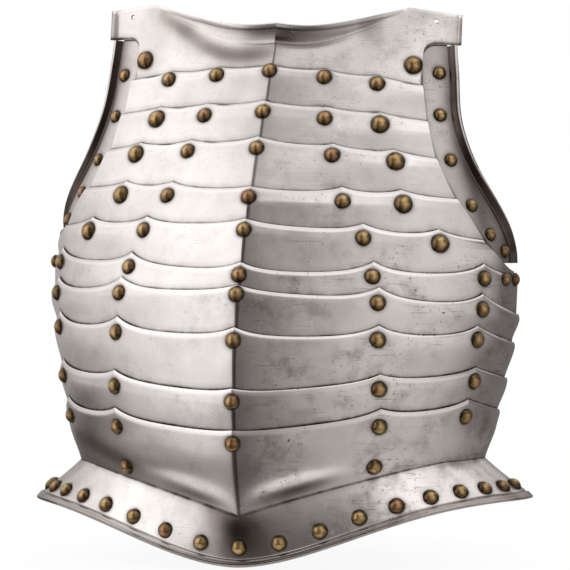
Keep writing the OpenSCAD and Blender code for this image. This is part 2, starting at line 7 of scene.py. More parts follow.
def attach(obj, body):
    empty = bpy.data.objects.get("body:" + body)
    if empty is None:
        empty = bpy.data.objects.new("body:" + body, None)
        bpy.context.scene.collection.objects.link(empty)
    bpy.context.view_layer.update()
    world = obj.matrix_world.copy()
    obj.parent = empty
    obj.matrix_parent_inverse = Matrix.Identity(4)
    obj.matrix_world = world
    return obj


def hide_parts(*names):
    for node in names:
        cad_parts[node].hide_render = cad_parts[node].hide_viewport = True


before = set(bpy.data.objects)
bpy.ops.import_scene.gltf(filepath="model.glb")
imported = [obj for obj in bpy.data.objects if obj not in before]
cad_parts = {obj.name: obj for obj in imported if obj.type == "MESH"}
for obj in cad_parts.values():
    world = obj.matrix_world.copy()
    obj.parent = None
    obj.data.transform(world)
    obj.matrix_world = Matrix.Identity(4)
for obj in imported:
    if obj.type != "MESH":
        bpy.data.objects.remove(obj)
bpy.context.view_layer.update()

# Top plate: one sheet of polished steel, hammered over a form with a sharp ridge down its middle.
# The neck edge is turned forwards as a band with a small bead, each shoulder ends in a turned lip,
# and a hole for a strap's rivet is punched through each shoulder. Sizes are in millimetres.
PLATE_T = 1.3
LAP_GAP = 1.15
LAP_STEP = PLATE_T + LAP_GAP
SECTION_LOW = -40
SECTION_STEP = 50
RIDGE_OUT = np.array([99.5, 112, 115, 106, 90, 64.5, 37, 13])
HALF_WIDE = np.array([132.5, 144.5, 155.5, 160.5, 159, 141, 127.5, 122])
KEEL = np.array([0.9, 0.6, 0.43, 0.43, 0.66, 0.52, 0.43, 0.5])
CHEST_SKEW = math.radians(-1.7)
WAIST_SKEW = math.radians(1.6)
SKEW_FROM_Z = 10
SKEW_TO_Z = 127
RIDGE_ROUND = 0.004
NECK_PEAK_Z = 312
NECK_PEAK_X = 90
NECK_LOW_Z = 297
NECK_DIP = 2
NECK_DIP_ENDS = 0.625
NECK_CURVE = 2.4
NECK_BAND = 12
NECK_LEAN = 5
NECK_FLARE = 1.2
FLARE_FADE = 9
BEAD_AT = 0.9
BEAD_HIGH = 0.45
GROOVE_AT = 2.4
GROOVE_DEEP = 0.3
BEAD_WIDE = 0.7
FOOT_HIGH = 0.3
FOOT_WIDE = 0.9
# Painted dark reflections on the neck band: each a share, an x and its width, and a height and its width.
NECK_DARK_REFLECTIONS = [(0.62, -40, 24, 10, 6), (0.4, -70, 18, 5, 6), (0.5, -12, 16, 7, 6),
               (0.45, 26, 26, 2.2, 1.6)]
SHOULDER_Z = 308
SHOULDER_LOW_Z = 287
SHOULDER_LIP = 4
TOP_TILT = 1.5
TILT_FROM_Z = 266
TILT_OVER = 28
TILT_HALF = 55
TILT_FADE = 20
TOP_BEND = -0.2
CORNER_R = 8
ARM_SHARE = 0.2
STRAP_HOLE_R = 1.6
STRAP_HOLE_X = 108.5
STRAP_HOLE_Z = 303
EDGE_T = 0.3
BEVEL = 3.0


def along(values, z):
    """Value at height z on the cubic through one value per cross section, its slope at a section
    being half the step between the two neighbours."""
    x = (np.asarray(z, float) - SECTION_LOW) / SECTION_STEP
    last = len(values) - 2
    i = np.clip(np.floor(x).astype(int), 0, last)
    f = x - i
    b = values[i]
    c = values[i + 1]
    a = np.where(i > 0, values[np.maximum(i - 1, 0)], 2 * b - c)
    d = np.where(i < last, values[np.minimum(i + 2, last + 1)], 2 * c - b)
    return (b + f * (c - a) / 2 + f ** 2 * (a - 2.5 * b + 2 * c - d / 2)
            + f ** 3 * ((d - a) / 2 + 1.5 * (b - c)))


def smooth(x):
    """Step from 0 to 1 with level ends: three squares less two cubes of x, held within 0 and 1."""
    t = np.clip(x, 0, 1)
    return t * t * (3 - 2 * t)


def mix(a, b, f):
    """Straight way from a to b."""
    return a + (b - a) * f


def bell(x, wide):
    """Bell curve of height 1: e to the minus square of x over its width."""
    return np.exp(-(x / wide) ** 2)


def spots(x, up, places):
    """Sum of soft spots, each its share times a bell curve across and one upwards. A place is a
    share, an x and its width, and a height and its width."""
    return sum(share * bell(x - at, wide) * bell(up - high, tall)
               for share, at, wide, high, tall in places)


def mirrored(half, sign=1):
    """Whole row of values from its right-hand half, whose first stands on the ridge."""
    return np.concatenate([sign * half[..., :0:-1], half], -1)


def lean(points):
    """Shears points upwards by their x times the tangent of a lean that changes with height."""
    x, z = points[..., 0], points[..., 2]
    angle = mix(WAIST_SKEW, CHEST_SKEW, smooth((z - SKEW_FROM_Z) / (SKEW_TO_Z - SKEW_FROM_Z)))
    return np.stack([x, points[..., 1], z + x * np.tan(angle)], -1)


def quarter_sine(u):
    """Sine of u quarter turns, which is a point's share of the half width."""
    return np.sin(math.pi / 2 * u)


def quarter_arc(share):
    """Place u whose quarter sine is a share."""
    return np.arcsin(share) / (math.pi / 2)


def oval(s, k):
    """Share of the depth that is left at a share s of the half width: the root of
    1 - k s - (1 - k) s squared, so that k sets how sharp the ridge is."""
    return np.sqrt(np.maximum(0, 1 - k * s - (1 - k) * s * s))


def body(u, z):
    """Body surface: x is the half width times the quarter sine of u, and y falls from the ridge as
    the oval."""
    u, z = np.broadcast_arrays(np.asarray(u, float), np.asarray(z, float))
    s = quarter_sine(np.minimum(1, np.abs(u)))
    x = np.sign(u) * along(HALF_WIDE, z) * s
    return np.stack([x, -along(RIDGE_OUT, z) * oval(s, along(KEEL, z)), z], -1)


def leaned(u, z):
    """Body surface with the rows' lean."""
    return lean(body(u, z))


def unit(vectors):
    """Vectors brought to length 1."""
    return vectors / np.linalg.norm(vectors, axis=-1, keepdims=True)


def body_normal(u, z):
    """Outward normal: the cross product of short steps along u and along z."""
    across = leaned(np.minimum(1, u + RIDGE_ROUND), z) - leaned(np.maximum(-1, u - RIDGE_ROUND), z)
    return unit(np.cross(across, leaned(u, z + 1.0) - leaned(u, z - 1.0)))


def skin(u, z, off):
    """Point that stands off the body surface by off along its normal."""
    u, z, off = np.broadcast_arrays(u, z, off)
    return leaned(u, z) + off[..., None] * body_normal(u, z)


def u_at(x, z):
    """Share u at which the body surface has half width x."""
    return quarter_arc(np.minimum(1, x / along(HALF_WIDE, z)))


def ease(count):
    """count + 1 steps from 0 to 1 that gather at both ends: (1 - cosine) / 2 over half a turn."""
    return (1 - np.cos(np.linspace(0, math.pi, count + 1))) / 2


def edge_off(below):
    """Height of the outer surface over the inner one, at a distance below the plate's filed edge:
    a rounded bevel that grows from the edge's thickness to the plate's."""
    rise = 1 - (1 - np.clip(below / BEVEL, 0, 1)) ** 1.8
    return mix(EDGE_T, PLATE_T, rise)


def grid_faces(rows, cols):
    """Quads of a closed shell between two grids: those of each grid, and strips along four sides."""
    count = rows * cols
    at = np.arange(count).reshape(rows, cols)

    def quads(a, b, c, d):
        """Quads from four grids of corners."""
        return np.stack([a.ravel(), b.ravel(), c.ravel(), d.ravel()], -1)

    return np.concatenate([
        quads(at[:-1, :-1], at[1:, :-1], at[1:, 1:], at[:-1, 1:]),
        quads(at[:-1, :-1], at[:-1, 1:], at[1:, 1:], at[1:, :-1]) + count,
        quads(at[0, :-1], at[0, 1:], at[0, 1:] + count, at[0, :-1] + count),
        quads(at[-1, 1:], at[-1, :-1], at[-1, :-1] + count, at[-1, 1:] + count),
        quads(at[1:, 0], at[:-1, 0], at[:-1, 0] + count, at[1:, 0] + count),
        quads(at[:-1, -1], at[1:, -1], at[1:, -1] + count, at[:-1, -1] + count)])


def new_piece(name, points, faces, sharp=38):
    """Mesh object from points in millimetres, smooth but for edges over an angle in degrees."""
    mesh = bpy.data.meshes.new(name)
    mesh.from_pydata((np.asarray(points) / 1000).tolist(), [], faces)
    mesh.shade_smooth()
    mesh.set_sharp_from_angle(angle=math.radians(sharp))
    piece = bpy.data.objects.new(name, mesh)
    bpy.context.scene.collection.objects.link(piece)
    return piece


def add_mark(piece, mark, values):
    """Gives a piece one number per point under a name, for its material to read."""
    layer = piece.data.attributes.new(mark, "FLOAT", "POINT")
    layer.data.foreach_set("value", values.astype(np.float32))


FAR = 20
BACK_MARKS = {"edge_gap": FAR, "own_edge": FAR, "rivet_gap": FAR, "stain_and_painted_shade": 0.22, "swell": 0}


def held(gap):
    """Distance held within 0 and one that counts as far."""
    return np.clip(gap, 0, FAR)


def shell(name, front, back, marks):
    """Closed shell between two grids of points with rows downwards and columns towards +X. Each mark is a
    value per grid point of the front for the steel's wear, dirt, painted shade and painted dark
    reflections, and the back, which is duller and has no dirt or painted shade at the laps, carries one
    value."""
    points = np.concatenate([front.reshape(-1, 3), back.reshape(-1, 3)])
    piece = new_piece(name, points, grid_faces(*front.shape[:2]).tolist())
    for mark, values in marks.items():
        flat = np.broadcast_to(values, front.shape[:2]).ravel()
        add_mark(piece, mark, np.concatenate([flat, np.full(len(flat), BACK_MARKS[mark])]))
    return piece


def rivet_gap(points, seats, radii):
    """Distance from each point to the foot of the nearest rivet's head."""
    gap = np.linalg.norm(points[..., None, :] - seats, axis=-1) - radii
    return held(gap.min(-1))


def add_node(tree, kind, settings=(), **inputs):
    """One shader node. Settings are pairs of property and value. Inputs are values or sockets by
    the input's name, with _ for a space, or by its number after an i."""
    made = tree.nodes.new(kind)
    for key, value in settings:
        setattr(made, key, value)
    for key, value in inputs.items():
        numbered = key[0] == "i" and key[1:].isdigit()
        socket = made.inputs[int(key[1:])] if numbered else made.inputs[key.replace("_", " ")]
        if isinstance(value, bpy.types.NodeSocket):
            tree.links.new(value, socket)
        else:
            socket.default_value = value
    return made


def ramp(tree, factor, *stops):
    """Colour ramp over a factor, from stops of place and grey level or colour."""
    made = add_node(tree, "ShaderNodeValToRGB", Fac=factor)
    band = made.color_ramp
    while len(band.elements) < len(stops):
        band.elements.new(0.5)
    for element, (place, value) in zip(band.elements, stops):
        element.position = place
        element.color = (*value, 1) if isinstance(value, tuple) else (value, value, value, 1)
    return made.outputs["Color"]


def math_node(tree, operation, a, b):
    """Result of one operation on two numbers or sockets."""
    return add_node(tree, "ShaderNodeMath", [("operation", operation)], i0=a, i1=b).outputs[0]


def plus(tree, a, b):
    """Sum of two numbers or sockets."""
    return math_node(tree, "ADD", a, b)


def times(tree, a, b):
    """Product of two numbers or sockets."""
    return math_node(tree, "MULTIPLY", a, b)


def larger(tree, a, b):
    """Larger one of two numbers or sockets."""
    return math_node(tree, "MAXIMUM", a, b)


def noise(tree, where, scale, detail=3.0, rough=0.55):
    """Grey noise of a scale in features per metre."""
    return add_node(tree, "ShaderNodeTexNoise", Vector=where, Scale=scale, Detail=detail,
                    Roughness=rough).outputs["Fac"]


def mark_of(tree, name):
    """Value that the mesh carries under a name."""
    return add_node(tree, "ShaderNodeAttribute", [("attribute_name", name)]).outputs["Fac"]


def blend_colour(tree, factor, a, b):
    """Colour between a and b by a factor."""
    made = tree.nodes.new("ShaderNodeMix")
    made.data_type = "RGBA"
    for index, value in ((0, factor), (6, a), (7, b)):
        if isinstance(value, bpy.types.NodeSocket):
            tree.links.new(value, made.inputs[index])
        else:
            made.inputs[index].default_value = value if index == 0 else (*value, 1)
    return made.outputs[2]


def drawn_out(tree, where, scale, tilt):
    """Coordinates drawn out one way and tilted by degrees, so that noise on them gives lines."""
    return add_node(tree, "ShaderNodeMapping", Vector=where, Scale=scale,
                    Rotation=(0, math.radians(tilt), 0)).outputs[0]


def bare_metal(name, metallic=1.0):
    """New material of bare metal, its tree, its shader and its Object coordinates."""
    material = bpy.data.materials.new(name)
    material.use_nodes = True
    tree = material.node_tree
    shader = tree.nodes["Principled BSDF"]
    shader.inputs["Metallic"].default_value = metallic
    return material, tree, shader, add_node(tree, "ShaderNodeTexCoord").outputs["Object"]


def finish_shader(tree, shader, tone, rough, height, strength=1.0, step=0.001):
    """Joins a colour, a roughness and a height, in steps of so many metres, to the shader."""
    tree.links.new(tone, shader.inputs["Base Color"])
    tree.links.new(rough, shader.inputs["Roughness"])
    bump = add_node(tree, "ShaderNodeBump", Height=height, Strength=strength, Distance=step)
    tree.links.new(bump.outputs[0], shader.inputs["Normal"])


STEEL_BRIGHT = (0.82, 0.785, 0.765)
STEEL_DULL = (0.68, 0.625, 0.6)
# The stain tone serves real stains and the light end of painted shade and dark reflections; the grime tone
# serves dirt and the dark end of painted shade.
STEEL_STAIN_AND_SHADE = (0.25, 0.19, 0.155)
STEEL_GRIME_AND_SHADE = (0.04, 0.028, 0.024)
SEED_SHIFT = (0.37, 0.19, 0)
POLISH_HIGH = 0.012
CROSS_HIGH = 0.008
WAVES_HIGH = 0.9
PITS_DEEP = 0.06
TOP_STAINED = 0.55


def steel(name, seed, stained):
    """Polished steel: clouded tone, fine polishing lines, faint hammer waves, pits and brown stains.
    Dirt and painted shade lie above each next plate's edge and round the rivets, a brown to black film
    paints a few real stains but mostly painted shade and dark reflections, and filed edges are rubbed
    bright.
    stained is how far pits and stains have taken the plate. Heights and depths are in millimetres,
    and so is a plate's swell, which only shades it, for the bend that the hammer gave it."""
    material, tree, shader, where = bare_metal(name)
    spot = add_node(tree, "ShaderNodeMapping", Vector=where,
                    Location=tuple(seed * shift for shift in SEED_SHIFT)).outputs[0]
    clouds = noise(tree, spot, 18, 5, 0.6)
    mottle = noise(tree, spot, 85, 4, 0.6)
    polish = noise(tree, drawn_out(tree, spot, (14, 14, 900), 8), 1, 2)
    cross_polish = noise(tree, drawn_out(tree, spot, (900, 14, 14), -16), 1, 2)
    scratches = noise(tree, drawn_out(tree, spot, (45, 45, 1100), 3), 1, 3, 0.6)
    specks = noise(tree, spot, 520, 2, 0.5)
    wide_specks = noise(tree, spot, 210, 3, 0.65)
    patches = noise(tree, spot, 22, 3, 0.6)

    side = add_node(tree, "ShaderNodeSeparateXYZ", Vector=where).outputs["X"]
    to_right = ramp(tree, plus(tree, side, 0.5), (0.5, 0.3), (0.52, 1.0))
    pit_mask = times(tree, ramp(tree, patches, (0.42, 0.0), (0.62, 1.0)), to_right)
    pits = times(tree, ramp(tree, specks, (0.66, 0.0), (0.72, 1.0)), pit_mask)
    wide_pits = times(tree, ramp(tree, wide_specks, (0.69, 0.0), (0.73, 1.0)), pit_mask)
    marks = larger(tree, pits, wide_pits)
    stain = times(tree, ramp(tree, mottle, (0.45, 0.0), (0.75, 0.75)), pit_mask)
    scratched = times(tree, ramp(tree, scratches, (0.61, 0.0), (0.68, 0.8)), pit_mask)

    # Painted shade: the edge and ring masks darken the steel just above each next plate's edge, along the
    # waist crease, at the gusset's inner edge and round each rivet's foot, partly as dirt and partly as
    # painted shade where the parts meet.
    edge = ramp(tree, times(tree, mark_of(tree, "edge_gap"), 0.1),
                (0.0, 1.0), (0.07, 0.95), (0.13, 0.4), (0.22, 0.16), (0.5, 0.0))
    ring = ramp(tree, times(tree, mark_of(tree, "rivet_gap"), 0.1),
                (0.0, 0.85), (0.06, 0.45), (0.16, 0.12), (0.35, 0.0))
    uneven = ramp(tree, mottle, (0.3, 0.55), (0.65, 1.0))
    grime_and_shade = times(tree, larger(tree, edge, ring), uneven)
    # Painted shade and dark reflections: this mark darkens the steel from brown to near black; only the
    # dull inside and the gussets' light base tone are real stain.
    stain_and_painted_shade = times(tree, mark_of(tree, "stain_and_painted_shade"), ramp(tree, clouds, (0.3, 0.8), (0.7, 1.0)))
    rubbed = ramp(tree, times(tree, mark_of(tree, "own_edge"), 0.1),
                  (0.0, 0.3), (0.04, 1.0), (0.25, 0.8), (0.42, 0.0))

    tone = STEEL_BRIGHT
    for cover, colour in ((ramp(tree, clouds, (0.3, 0.0), (0.75, 1.0)), STEEL_DULL),
                          (ramp(tree, mottle, (0.45, 0.0), (0.8, 0.5)), STEEL_DULL),
                          (times(tree, stain, stained), STEEL_STAIN_AND_SHADE),
                          (times(tree, scratched, stained), STEEL_STAIN_AND_SHADE),
                          (ramp(tree, stain_and_painted_shade, (0.0, 0.0), (0.4, 0.65), (0.9, 1.0)),
                           blend_colour(tree, stain_and_painted_shade, STEEL_STAIN_AND_SHADE, STEEL_GRIME_AND_SHADE)),
                          (rubbed, STEEL_BRIGHT), (times(tree, marks, stained), STEEL_STAIN_AND_SHADE),
                          (grime_and_shade, STEEL_GRIME_AND_SHADE)):
        tone = blend_colour(tree, cover, tone, colour)

    rough = plus(tree, ramp(tree, clouds, (0.3, 0.2), (0.8, 0.31)),
                 times(tree, larger(tree, marks, grime_and_shade), 0.3))
    fine = plus(tree, times(tree, polish, POLISH_HIGH), times(tree, cross_polish, CROSS_HIGH))
    waves = times(tree, noise(tree, spot, 26, 1, 0.4), WAVES_HIGH)
    height = plus(tree, plus(tree, fine, waves), mark_of(tree, "swell"))
    height = math_node(tree, "SUBTRACT", height, times(tree, marks, PITS_DEEP))
    finish_shader(tree, shader, tone, rough, height)
    return material


def finish_steel(piece, node, seed, stained):
    """Gives a steel piece its own steel, and the place of the CAD node that it stands for."""
    piece.data.materials.append(steel(f"steel_{node}", seed, stained))
    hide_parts(node)
    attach(piece, node)


def neck_edge(x):
    """Height of the neck edge: low in the middle, dipping a little, then up to the shoulder point
    as a power of the share of the way to it."""
    f = np.minimum(1, np.abs(x) / NECK_PEAK_X)
    low = NECK_LOW_Z - NECK_DIP * np.sin(math.pi * np.minimum(1, f / NECK_DIP_ENDS))
    return mix(low, NECK_PEAK_Z, f ** NECK_CURVE)


def shoulder_edge(x):
    """Height of the whole upper edge: the neck edge, then a straight shoulder down to its corner."""
    reach = (np.abs(x) - NECK_PEAK_X) / (along(HALF_WIDE, SHOULDER_Z) - NECK_PEAK_X)
    return np.where(np.abs(x) <= NECK_PEAK_X, neck_edge(x), mix(NECK_PEAK_Z, SHOULDER_Z, reach))


ROW_Z = [264, 235, 210, 177, 155.5, 126, 113, 83.5, 44.5, 17.5]
ROW_RISE = [-12, -10, -8.5, -1, -5.5, 4, -4.5, 4.5, 14, 16]
ROW_IN = [37.5, 41.5, 49.5, 60, 75, 83, 87, 88, 88.5, 87.5]
ROW_OUT = [72.5, 77, 89, 97.5, 121, 147, 145.5, 143, 139.5, 133]
ROW_LIFT = [3, 6, 4.5, 5, 4, 2, 2, 2, 4.5, 6]
ROW_CUSP = [3, 2.5, 3.5, 4.5, 5.5, 8, 8.5, 8, 5.5, 6]
ROW_PEAK = [4.5, 8.5, 8.5, 7.5, 7.5, 8.5, 6, 8.5, 8.5, 8.5]
CUSP_WIDE = 13
SIDE_DIP = 5
DIP_TO_U = 1.02
LAP_BELOW = 4.3
SIDE_ROW = 5
LOW_OFF = LAP_STEP * np.array([0, 0, 0, 0, 0, 0, 1, 0.5, 0, 0, 0])
TOP_OFF = np.concatenate([[0], LOW_OFF[:-1] + LAP_STEP])
HEAD_R = 5.5
BIG_HEAD_R = 6.5
SIDE_HEAD_R = 4.7
PIVOT_X = 95.5
PIVOT_Z = 272


def rivet_line(row, u):
    """Height of a row's rivets: the ridge's rivet plus the row's rise times the quarter sine of u."""
    return ROW_Z[row] + ROW_RISE[row] * quarter_sine(np.abs(u))


def inner_u(row):
    """Place u of a row's inner rivets, from their half width at the ridge rivet's height."""
    return u_at(ROW_IN[row], ROW_Z[row])


def outer_u(row):
    """Place u of a row's outer rivets, worked out as that of the inner ones is."""
    return u_at(ROW_OUT[row], ROW_Z[row])


def point_of(row, u, at):
    """Share of an edge's point at u: falls off exponentially with the distance from the rivet."""
    gap = np.linalg.norm(body(np.abs(u), ROW_Z[row]) - body(at, ROW_Z[row]), axis=-1)
    return np.exp(-gap / CUSP_WIDE)


def dip(row, u):
    """Fall of the lower rows' edges: a smooth step from the outer rivets to the side edge."""
    if row <= SIDE_ROW:
        return 0 * u
    return SIDE_DIP * smooth((np.abs(u) - outer_u(row)) / (DIP_TO_U - outer_u(row)))


def upper_edge(row, u):
    """Upper edge of the plate that a row holds: a lift above the rivets, and a point over each."""
    return (rivet_line(row, u) + ROW_LIFT[row] - dip(row, u)
            + (ROW_PEAK[row] - ROW_LIFT[row]) * point_of(row, u, 0)
            + ROW_CUSP[row] * (point_of(row, u, inner_u(row)) + point_of(row, u, outer_u(row))))


def lower_edge(row, u):
    """Lower edge of the plate behind a row's rivets: a fixed way below them, less the side dip."""
    return rivet_line(row, u) - LAP_BELOW - dip(row, u)


def ridge_painted_shade(x):
    """Painted shade down the right-hand flank of the ridge, a narrow bell curve on a wide faint one."""
    return 0.75 * bell(x - 0.9, 0.7) + 0.1 * bell(x - 4, 5)


CHEST_COLUMNS = 91
CHEST_GATHER = 1.3
CORNER_COLUMNS = 25
OUT_COLUMNS = 21
LIP_COLUMNS = 9
TOP_ROWS = 52
TOP_UNDER_ROWS = 5
ARM_GAP = 0.5
SHOULDER_INSET = 0.25
CORNER_LEFT = 0.5
NECK_EDGE_IN = 1.4
LOW_EDGE_IN = 1
LIP_FORWARD = 2
LIP_THIN = 0.6
EDGE_UNWORN = 1.2
BAND_ROWS = np.array([0, 0.025, 0.05, 0.08, 0.11, 0.14, 0.17, 0.2, 0.25, 0.33, 0.42, 0.52, 0.62, 0.72,
                      0.82, 0.9, 0.95, 1.0])[:, None]


def shoulder_share(x):
    """Share of the way from the ridge to the neck's highest point, and 1 from there on."""
    return np.minimum(1, np.abs(x) / NECK_PEAK_X)


def open_share(x):
    """How much of the neck band there is: 1 at the ridge, falling as a cube to 0 at the shoulders."""
    return 1 - shoulder_share(x) ** 3


def neck_turn(x, z, down, from_edge, below):
    """How far the top plate stands off the body. The band leans out, half in step with the way up
    it and half as a power of that, over a flare that fades below it, with bell curves for its bead,
    groove and foot, and closes towards the shoulders. The chest under it is a little flatter."""
    flatter = smooth((z - TILT_FROM_Z) / TILT_OVER) * (1 - smooth((np.abs(x) - TILT_HALF) / TILT_FADE))
    up = np.clip(1 - down, 0, 1)
    return -TOP_TILT * flatter + open_share(x) * (
        NECK_LEAN * (0.5 * up + 0.5 * up ** 2.5)
        + NECK_FLARE * np.exp(-np.maximum(below, 0) / FLARE_FADE)
        + BEAD_HIGH * bell(from_edge - BEAD_AT, BEAD_WIDE)
        - GROOVE_DEEP * bell(from_edge - GROOVE_AT, BEAD_WIDE)
        + FOOT_HIGH * bell(below, FOOT_WIDE))


def top_plate_painted_shade(x, down, from_edge, below, curl):
    """Painted shade and dark reflections on the top plate: a dark band left and right of the ridge, dark
    spots under it, painted shade along the bead's groove and the edge and in the shoulder lip's curl, and
    on the ridge's right flank below the band."""
    in_band = smooth(1.15 - down) * smooth(down * 6)
    left = 0.42 * in_band * open_share(x) + 0.15 * bell(x + 88, 14) * bell(from_edge - 7, 7)
    right = 0.8 * bell(down - 0.8, 0.25) * np.maximum(0, 1 - 1.15 * shoulder_share(x))
    right = right + 0.6 * bell(x - 5, 11) * in_band
    lines = 0.9 * bell(from_edge - 2.3, 0.9) * open_share(x) + 0.8 * bell(from_edge, 0.4)
    stain_and_painted_shade = np.where(x < 0, left, right) + spots(x, below, NECK_DARK_REFLECTIONS) + lines + 0.5 * bell(curl - 0.4, 0.2)
    return np.clip(np.where(below > 0, np.maximum(stain_and_painted_shade, ridge_painted_shade(x)), stain_and_painted_shade), 0, 1)


def top_plate_sheets():
    """Outer and inner grid of the top plate, and its marks. Columns run over the chest, round the
    corner of the cut-out over the gusset and out to the shoulder's lip, which curls as the square of
    its way out. Rows go down the neck band, on to the next plate's edge and under it."""
    arm_x = along(HALF_WIDE, ROW_Z[0]) * (1 - ARM_SHARE)
    shoulder_x = along(HALF_WIDE, SHOULDER_Z) - SHOULDER_INSET
    chest_x = (arm_x - ARM_GAP) * np.linspace(0, 1, CHEST_COLUMNS) ** CHEST_GATHER
    turn = np.radians(np.linspace(180, 90, CORNER_COLUMNS))
    out_x = np.linspace(arm_x + CORNER_R, shoulder_x, OUT_COLUMNS)[1:]
    lip = np.linspace(0, 1, LIP_COLUMNS)[1:]
    corner_x = arm_x + CORNER_R * (1 + np.cos(turn))
    half_x = np.concatenate([chest_x, corner_x, out_x, shoulder_x + 0 * lip])
    flat = SHOULDER_LOW_Z + np.zeros(len(out_x) + len(lip))
    corner_low = SHOULDER_LOW_Z - CORNER_R * (1 - np.sin(turn))
    chest_u = u_at(chest_x, ROW_Z[0])
    x = mirrored(half_x, -1)
    low = mirrored(np.concatenate([lower_edge(0, chest_u), corner_low, flat]))
    past_corner = np.concatenate([corner_low, flat]) + CORNER_LEFT
    next_edge = mirrored(np.concatenate([upper_edge(0, chest_u), past_corner]))
    curl = mirrored(np.concatenate([np.zeros(len(half_x) - len(lip)), lip]))
    edge = shoulder_edge(x)
    band_wide = mix(NECK_BAND, 1, shoulder_share(x) ** 2)
    band_low = edge - band_wide
    z = np.concatenate([edge - BAND_ROWS * band_wide,
                        mix(band_low, next_edge, ease(TOP_ROWS)[1:, None]),
                        mix(next_edge, low, np.linspace(0, 1, TOP_UNDER_ROWS)[1:, None])])
    count = len(BAND_ROWS)
    down = np.concatenate([BAND_ROWS + 0 * z[:count], 1 + (band_low - z[count:]) / NECK_BAND])
    below = (down - 1) * NECK_BAND
    turned = neck_turn(x, z, down, down * band_wide, below)
    side = np.sign(x)

    def sheet(off):
        """Face of the plate at an offset from its inner one, with the shoulders' lips."""
        points = skin(side * u_at(np.abs(x), z), z, off + turned)
        points[..., 0] += side * curl * (SHOULDER_LIP - LIP_THIN * off)
        points[..., 1] -= LIP_FORWARD * curl ** 2
        return points

    front = sheet(np.minimum(edge_off(z[0] - z + NECK_EDGE_IN), edge_off(z - z[-1] + LOW_EDGE_IN)))
    pivots = skin(np.array([-1, 1]) * u_at(PIVOT_X, PIVOT_Z), PIVOT_Z, PLATE_T)
    # Painted shade: dirt and painted shade above the first lame's edge and round the pivot rivets.
    return front, sheet(0 * z), {
        "edge_gap": held(z - next_edge), "own_edge": held(z[0] - z) + EDGE_UNWORN,
        "rivet_gap": rivet_gap(front, pivots, BIG_HEAD_R),
        "stain_and_painted_shade": top_plate_painted_shade(x, down, down * band_wide, below, curl), "swell": TOP_BEND * z}


PIN_SIDES = 20
PIN_HALF = 6


def punch(piece, seats, normals, radius):
    """Cuts round holes of a radius through a piece along the normals at its seats, by taking away
    many-sided pins."""
    turn = np.linspace(0, 2 * math.pi, PIN_SIDES + 1)[:-1]
    points, faces = [], []
    for seat, normal in zip(seats, normals):
        aside = unit(np.cross([0, 0, 1.0], normal))
        up = np.cross(normal, aside)
        ring = radius * (np.cos(turn)[:, None] * aside + np.sin(turn)[:, None] * up)
        start = sum(len(part) for part in points)
        points += [seat + ring - PIN_HALF * normal, seat + ring + PIN_HALF * normal]
        low = start + np.arange(PIN_SIDES)
        after = np.roll(low, -1)
        faces += np.stack([low, after, after + PIN_SIDES, low + PIN_SIDES], -1).tolist()
        faces += [low[::-1].tolist(), (low + PIN_SIDES).tolist()]
    pins = new_piece("hole_pins", np.concatenate(points), faces)
    cut = piece.modifiers.new("holes", "BOOLEAN")
    cut.object = pins
    cut.operation = "DIFFERENCE"
    cut.solver = "EXACT"
    bpy.context.view_layer.update()
    evaluated = piece.evaluated_get(bpy.context.evaluated_depsgraph_get())
    holed = bpy.data.meshes.new_from_object(evaluated)
    piece.modifiers.clear()
    piece.data = holed
    bpy.data.objects.remove(pins)


top_plate = shell("top_plate_steel", *top_plate_sheets())
strap_u = np.array([-1, 1]) * u_at(STRAP_HOLE_X, STRAP_HOLE_Z)
strap_z = np.full(2, float(STRAP_HOLE_Z))
punch(top_plate, skin(strap_u, strap_z, 0), body_normal(strap_u, strap_z), STRAP_HOLE_R)
finish_steel(top_plate, "top_plate", 0, TOP_STAINED)

# Nine lames: narrow strips of the same steel, each with its upper edge outside the plate above it.
# The edge is filed to a bevel and drawn up to a low point over every rivet, and each strip sinks
# slowly from its upper lap to its lower one.
ARM_LOW_Z = 136
ARM_HIGH_Z = 235
PART_COLUMNS = (30, 36, 30)
SIDE_SHARE = (0.48, 0.82)
HOLD_ABOVE = -2
HOLD_BELOW = 4.5
BEVEL_ROWS = np.array([0, 0.25, 0.6, 1.0, 1.5, 2.1, 2.8, 3.4])[:, None]
LAME_ROWS = 34
UNDER_ROWS = 8
LAME_BENDS = [-0.12, -0.1, -0.05, -0.03, 0, 0, 0, 0, 0]
LAME_STAINED = [0.4, 0.45, 0.5, 0.6, 0.8, 0.9, 0.9, 1.0, 1.0]


def arm_u(z):
    """Place of the armhole's edge: the lames lose a share of the half width that grows as one less
    the square of the way left to its full height."""
    way = np.clip((z - ARM_LOW_Z) / (ARM_HIGH_Z - ARM_LOW_Z), 0, 1)
    return quarter_arc(1 - ARM_SHARE * (1 - (1 - way) ** 2))


def columns(row, u_end):
    """Places of a plate's columns, gathered at the ridge, at the rivets and at the ends u_end. Rows
    of u_end give rows of columns."""
    u_end = np.atleast_1d(u_end)[:, None]
    inner, outer = inner_u(row), outer_u(row)
    a, b, c = (ease(count) for count in PART_COLUMNS)
    middle = np.concatenate([inner * a, mix(inner, outer, b[1:])])
    half = np.concatenate([np.tile(middle, (len(u_end), 1)), mix(outer, u_end, c[1:])], 1)
    return mirrored(half, -1)


def row_places(row):
    """Places u of a row's rivets, and the radii of their heads: two on each side and one on the
    ridge. The widest row has two more small ones at each end, at shares of the way left."""
    out, inner = outer_u(row), inner_u(row)
    ends = BIG_HEAD_R if 1 <= row <= 4 else HEAD_R
    places, radii = [-out, -inner, 0, inner, out], [ends, HEAD_R, HEAD_R, HEAD_R, ends]
    if row == SIDE_ROW:
        for side in (-1, 1):
            places += [side * mix(out, 1, share) for share in SIDE_SHARE]
            radii += [SIDE_HEAD_R] * 2
    return np.array(places), np.array(radii)


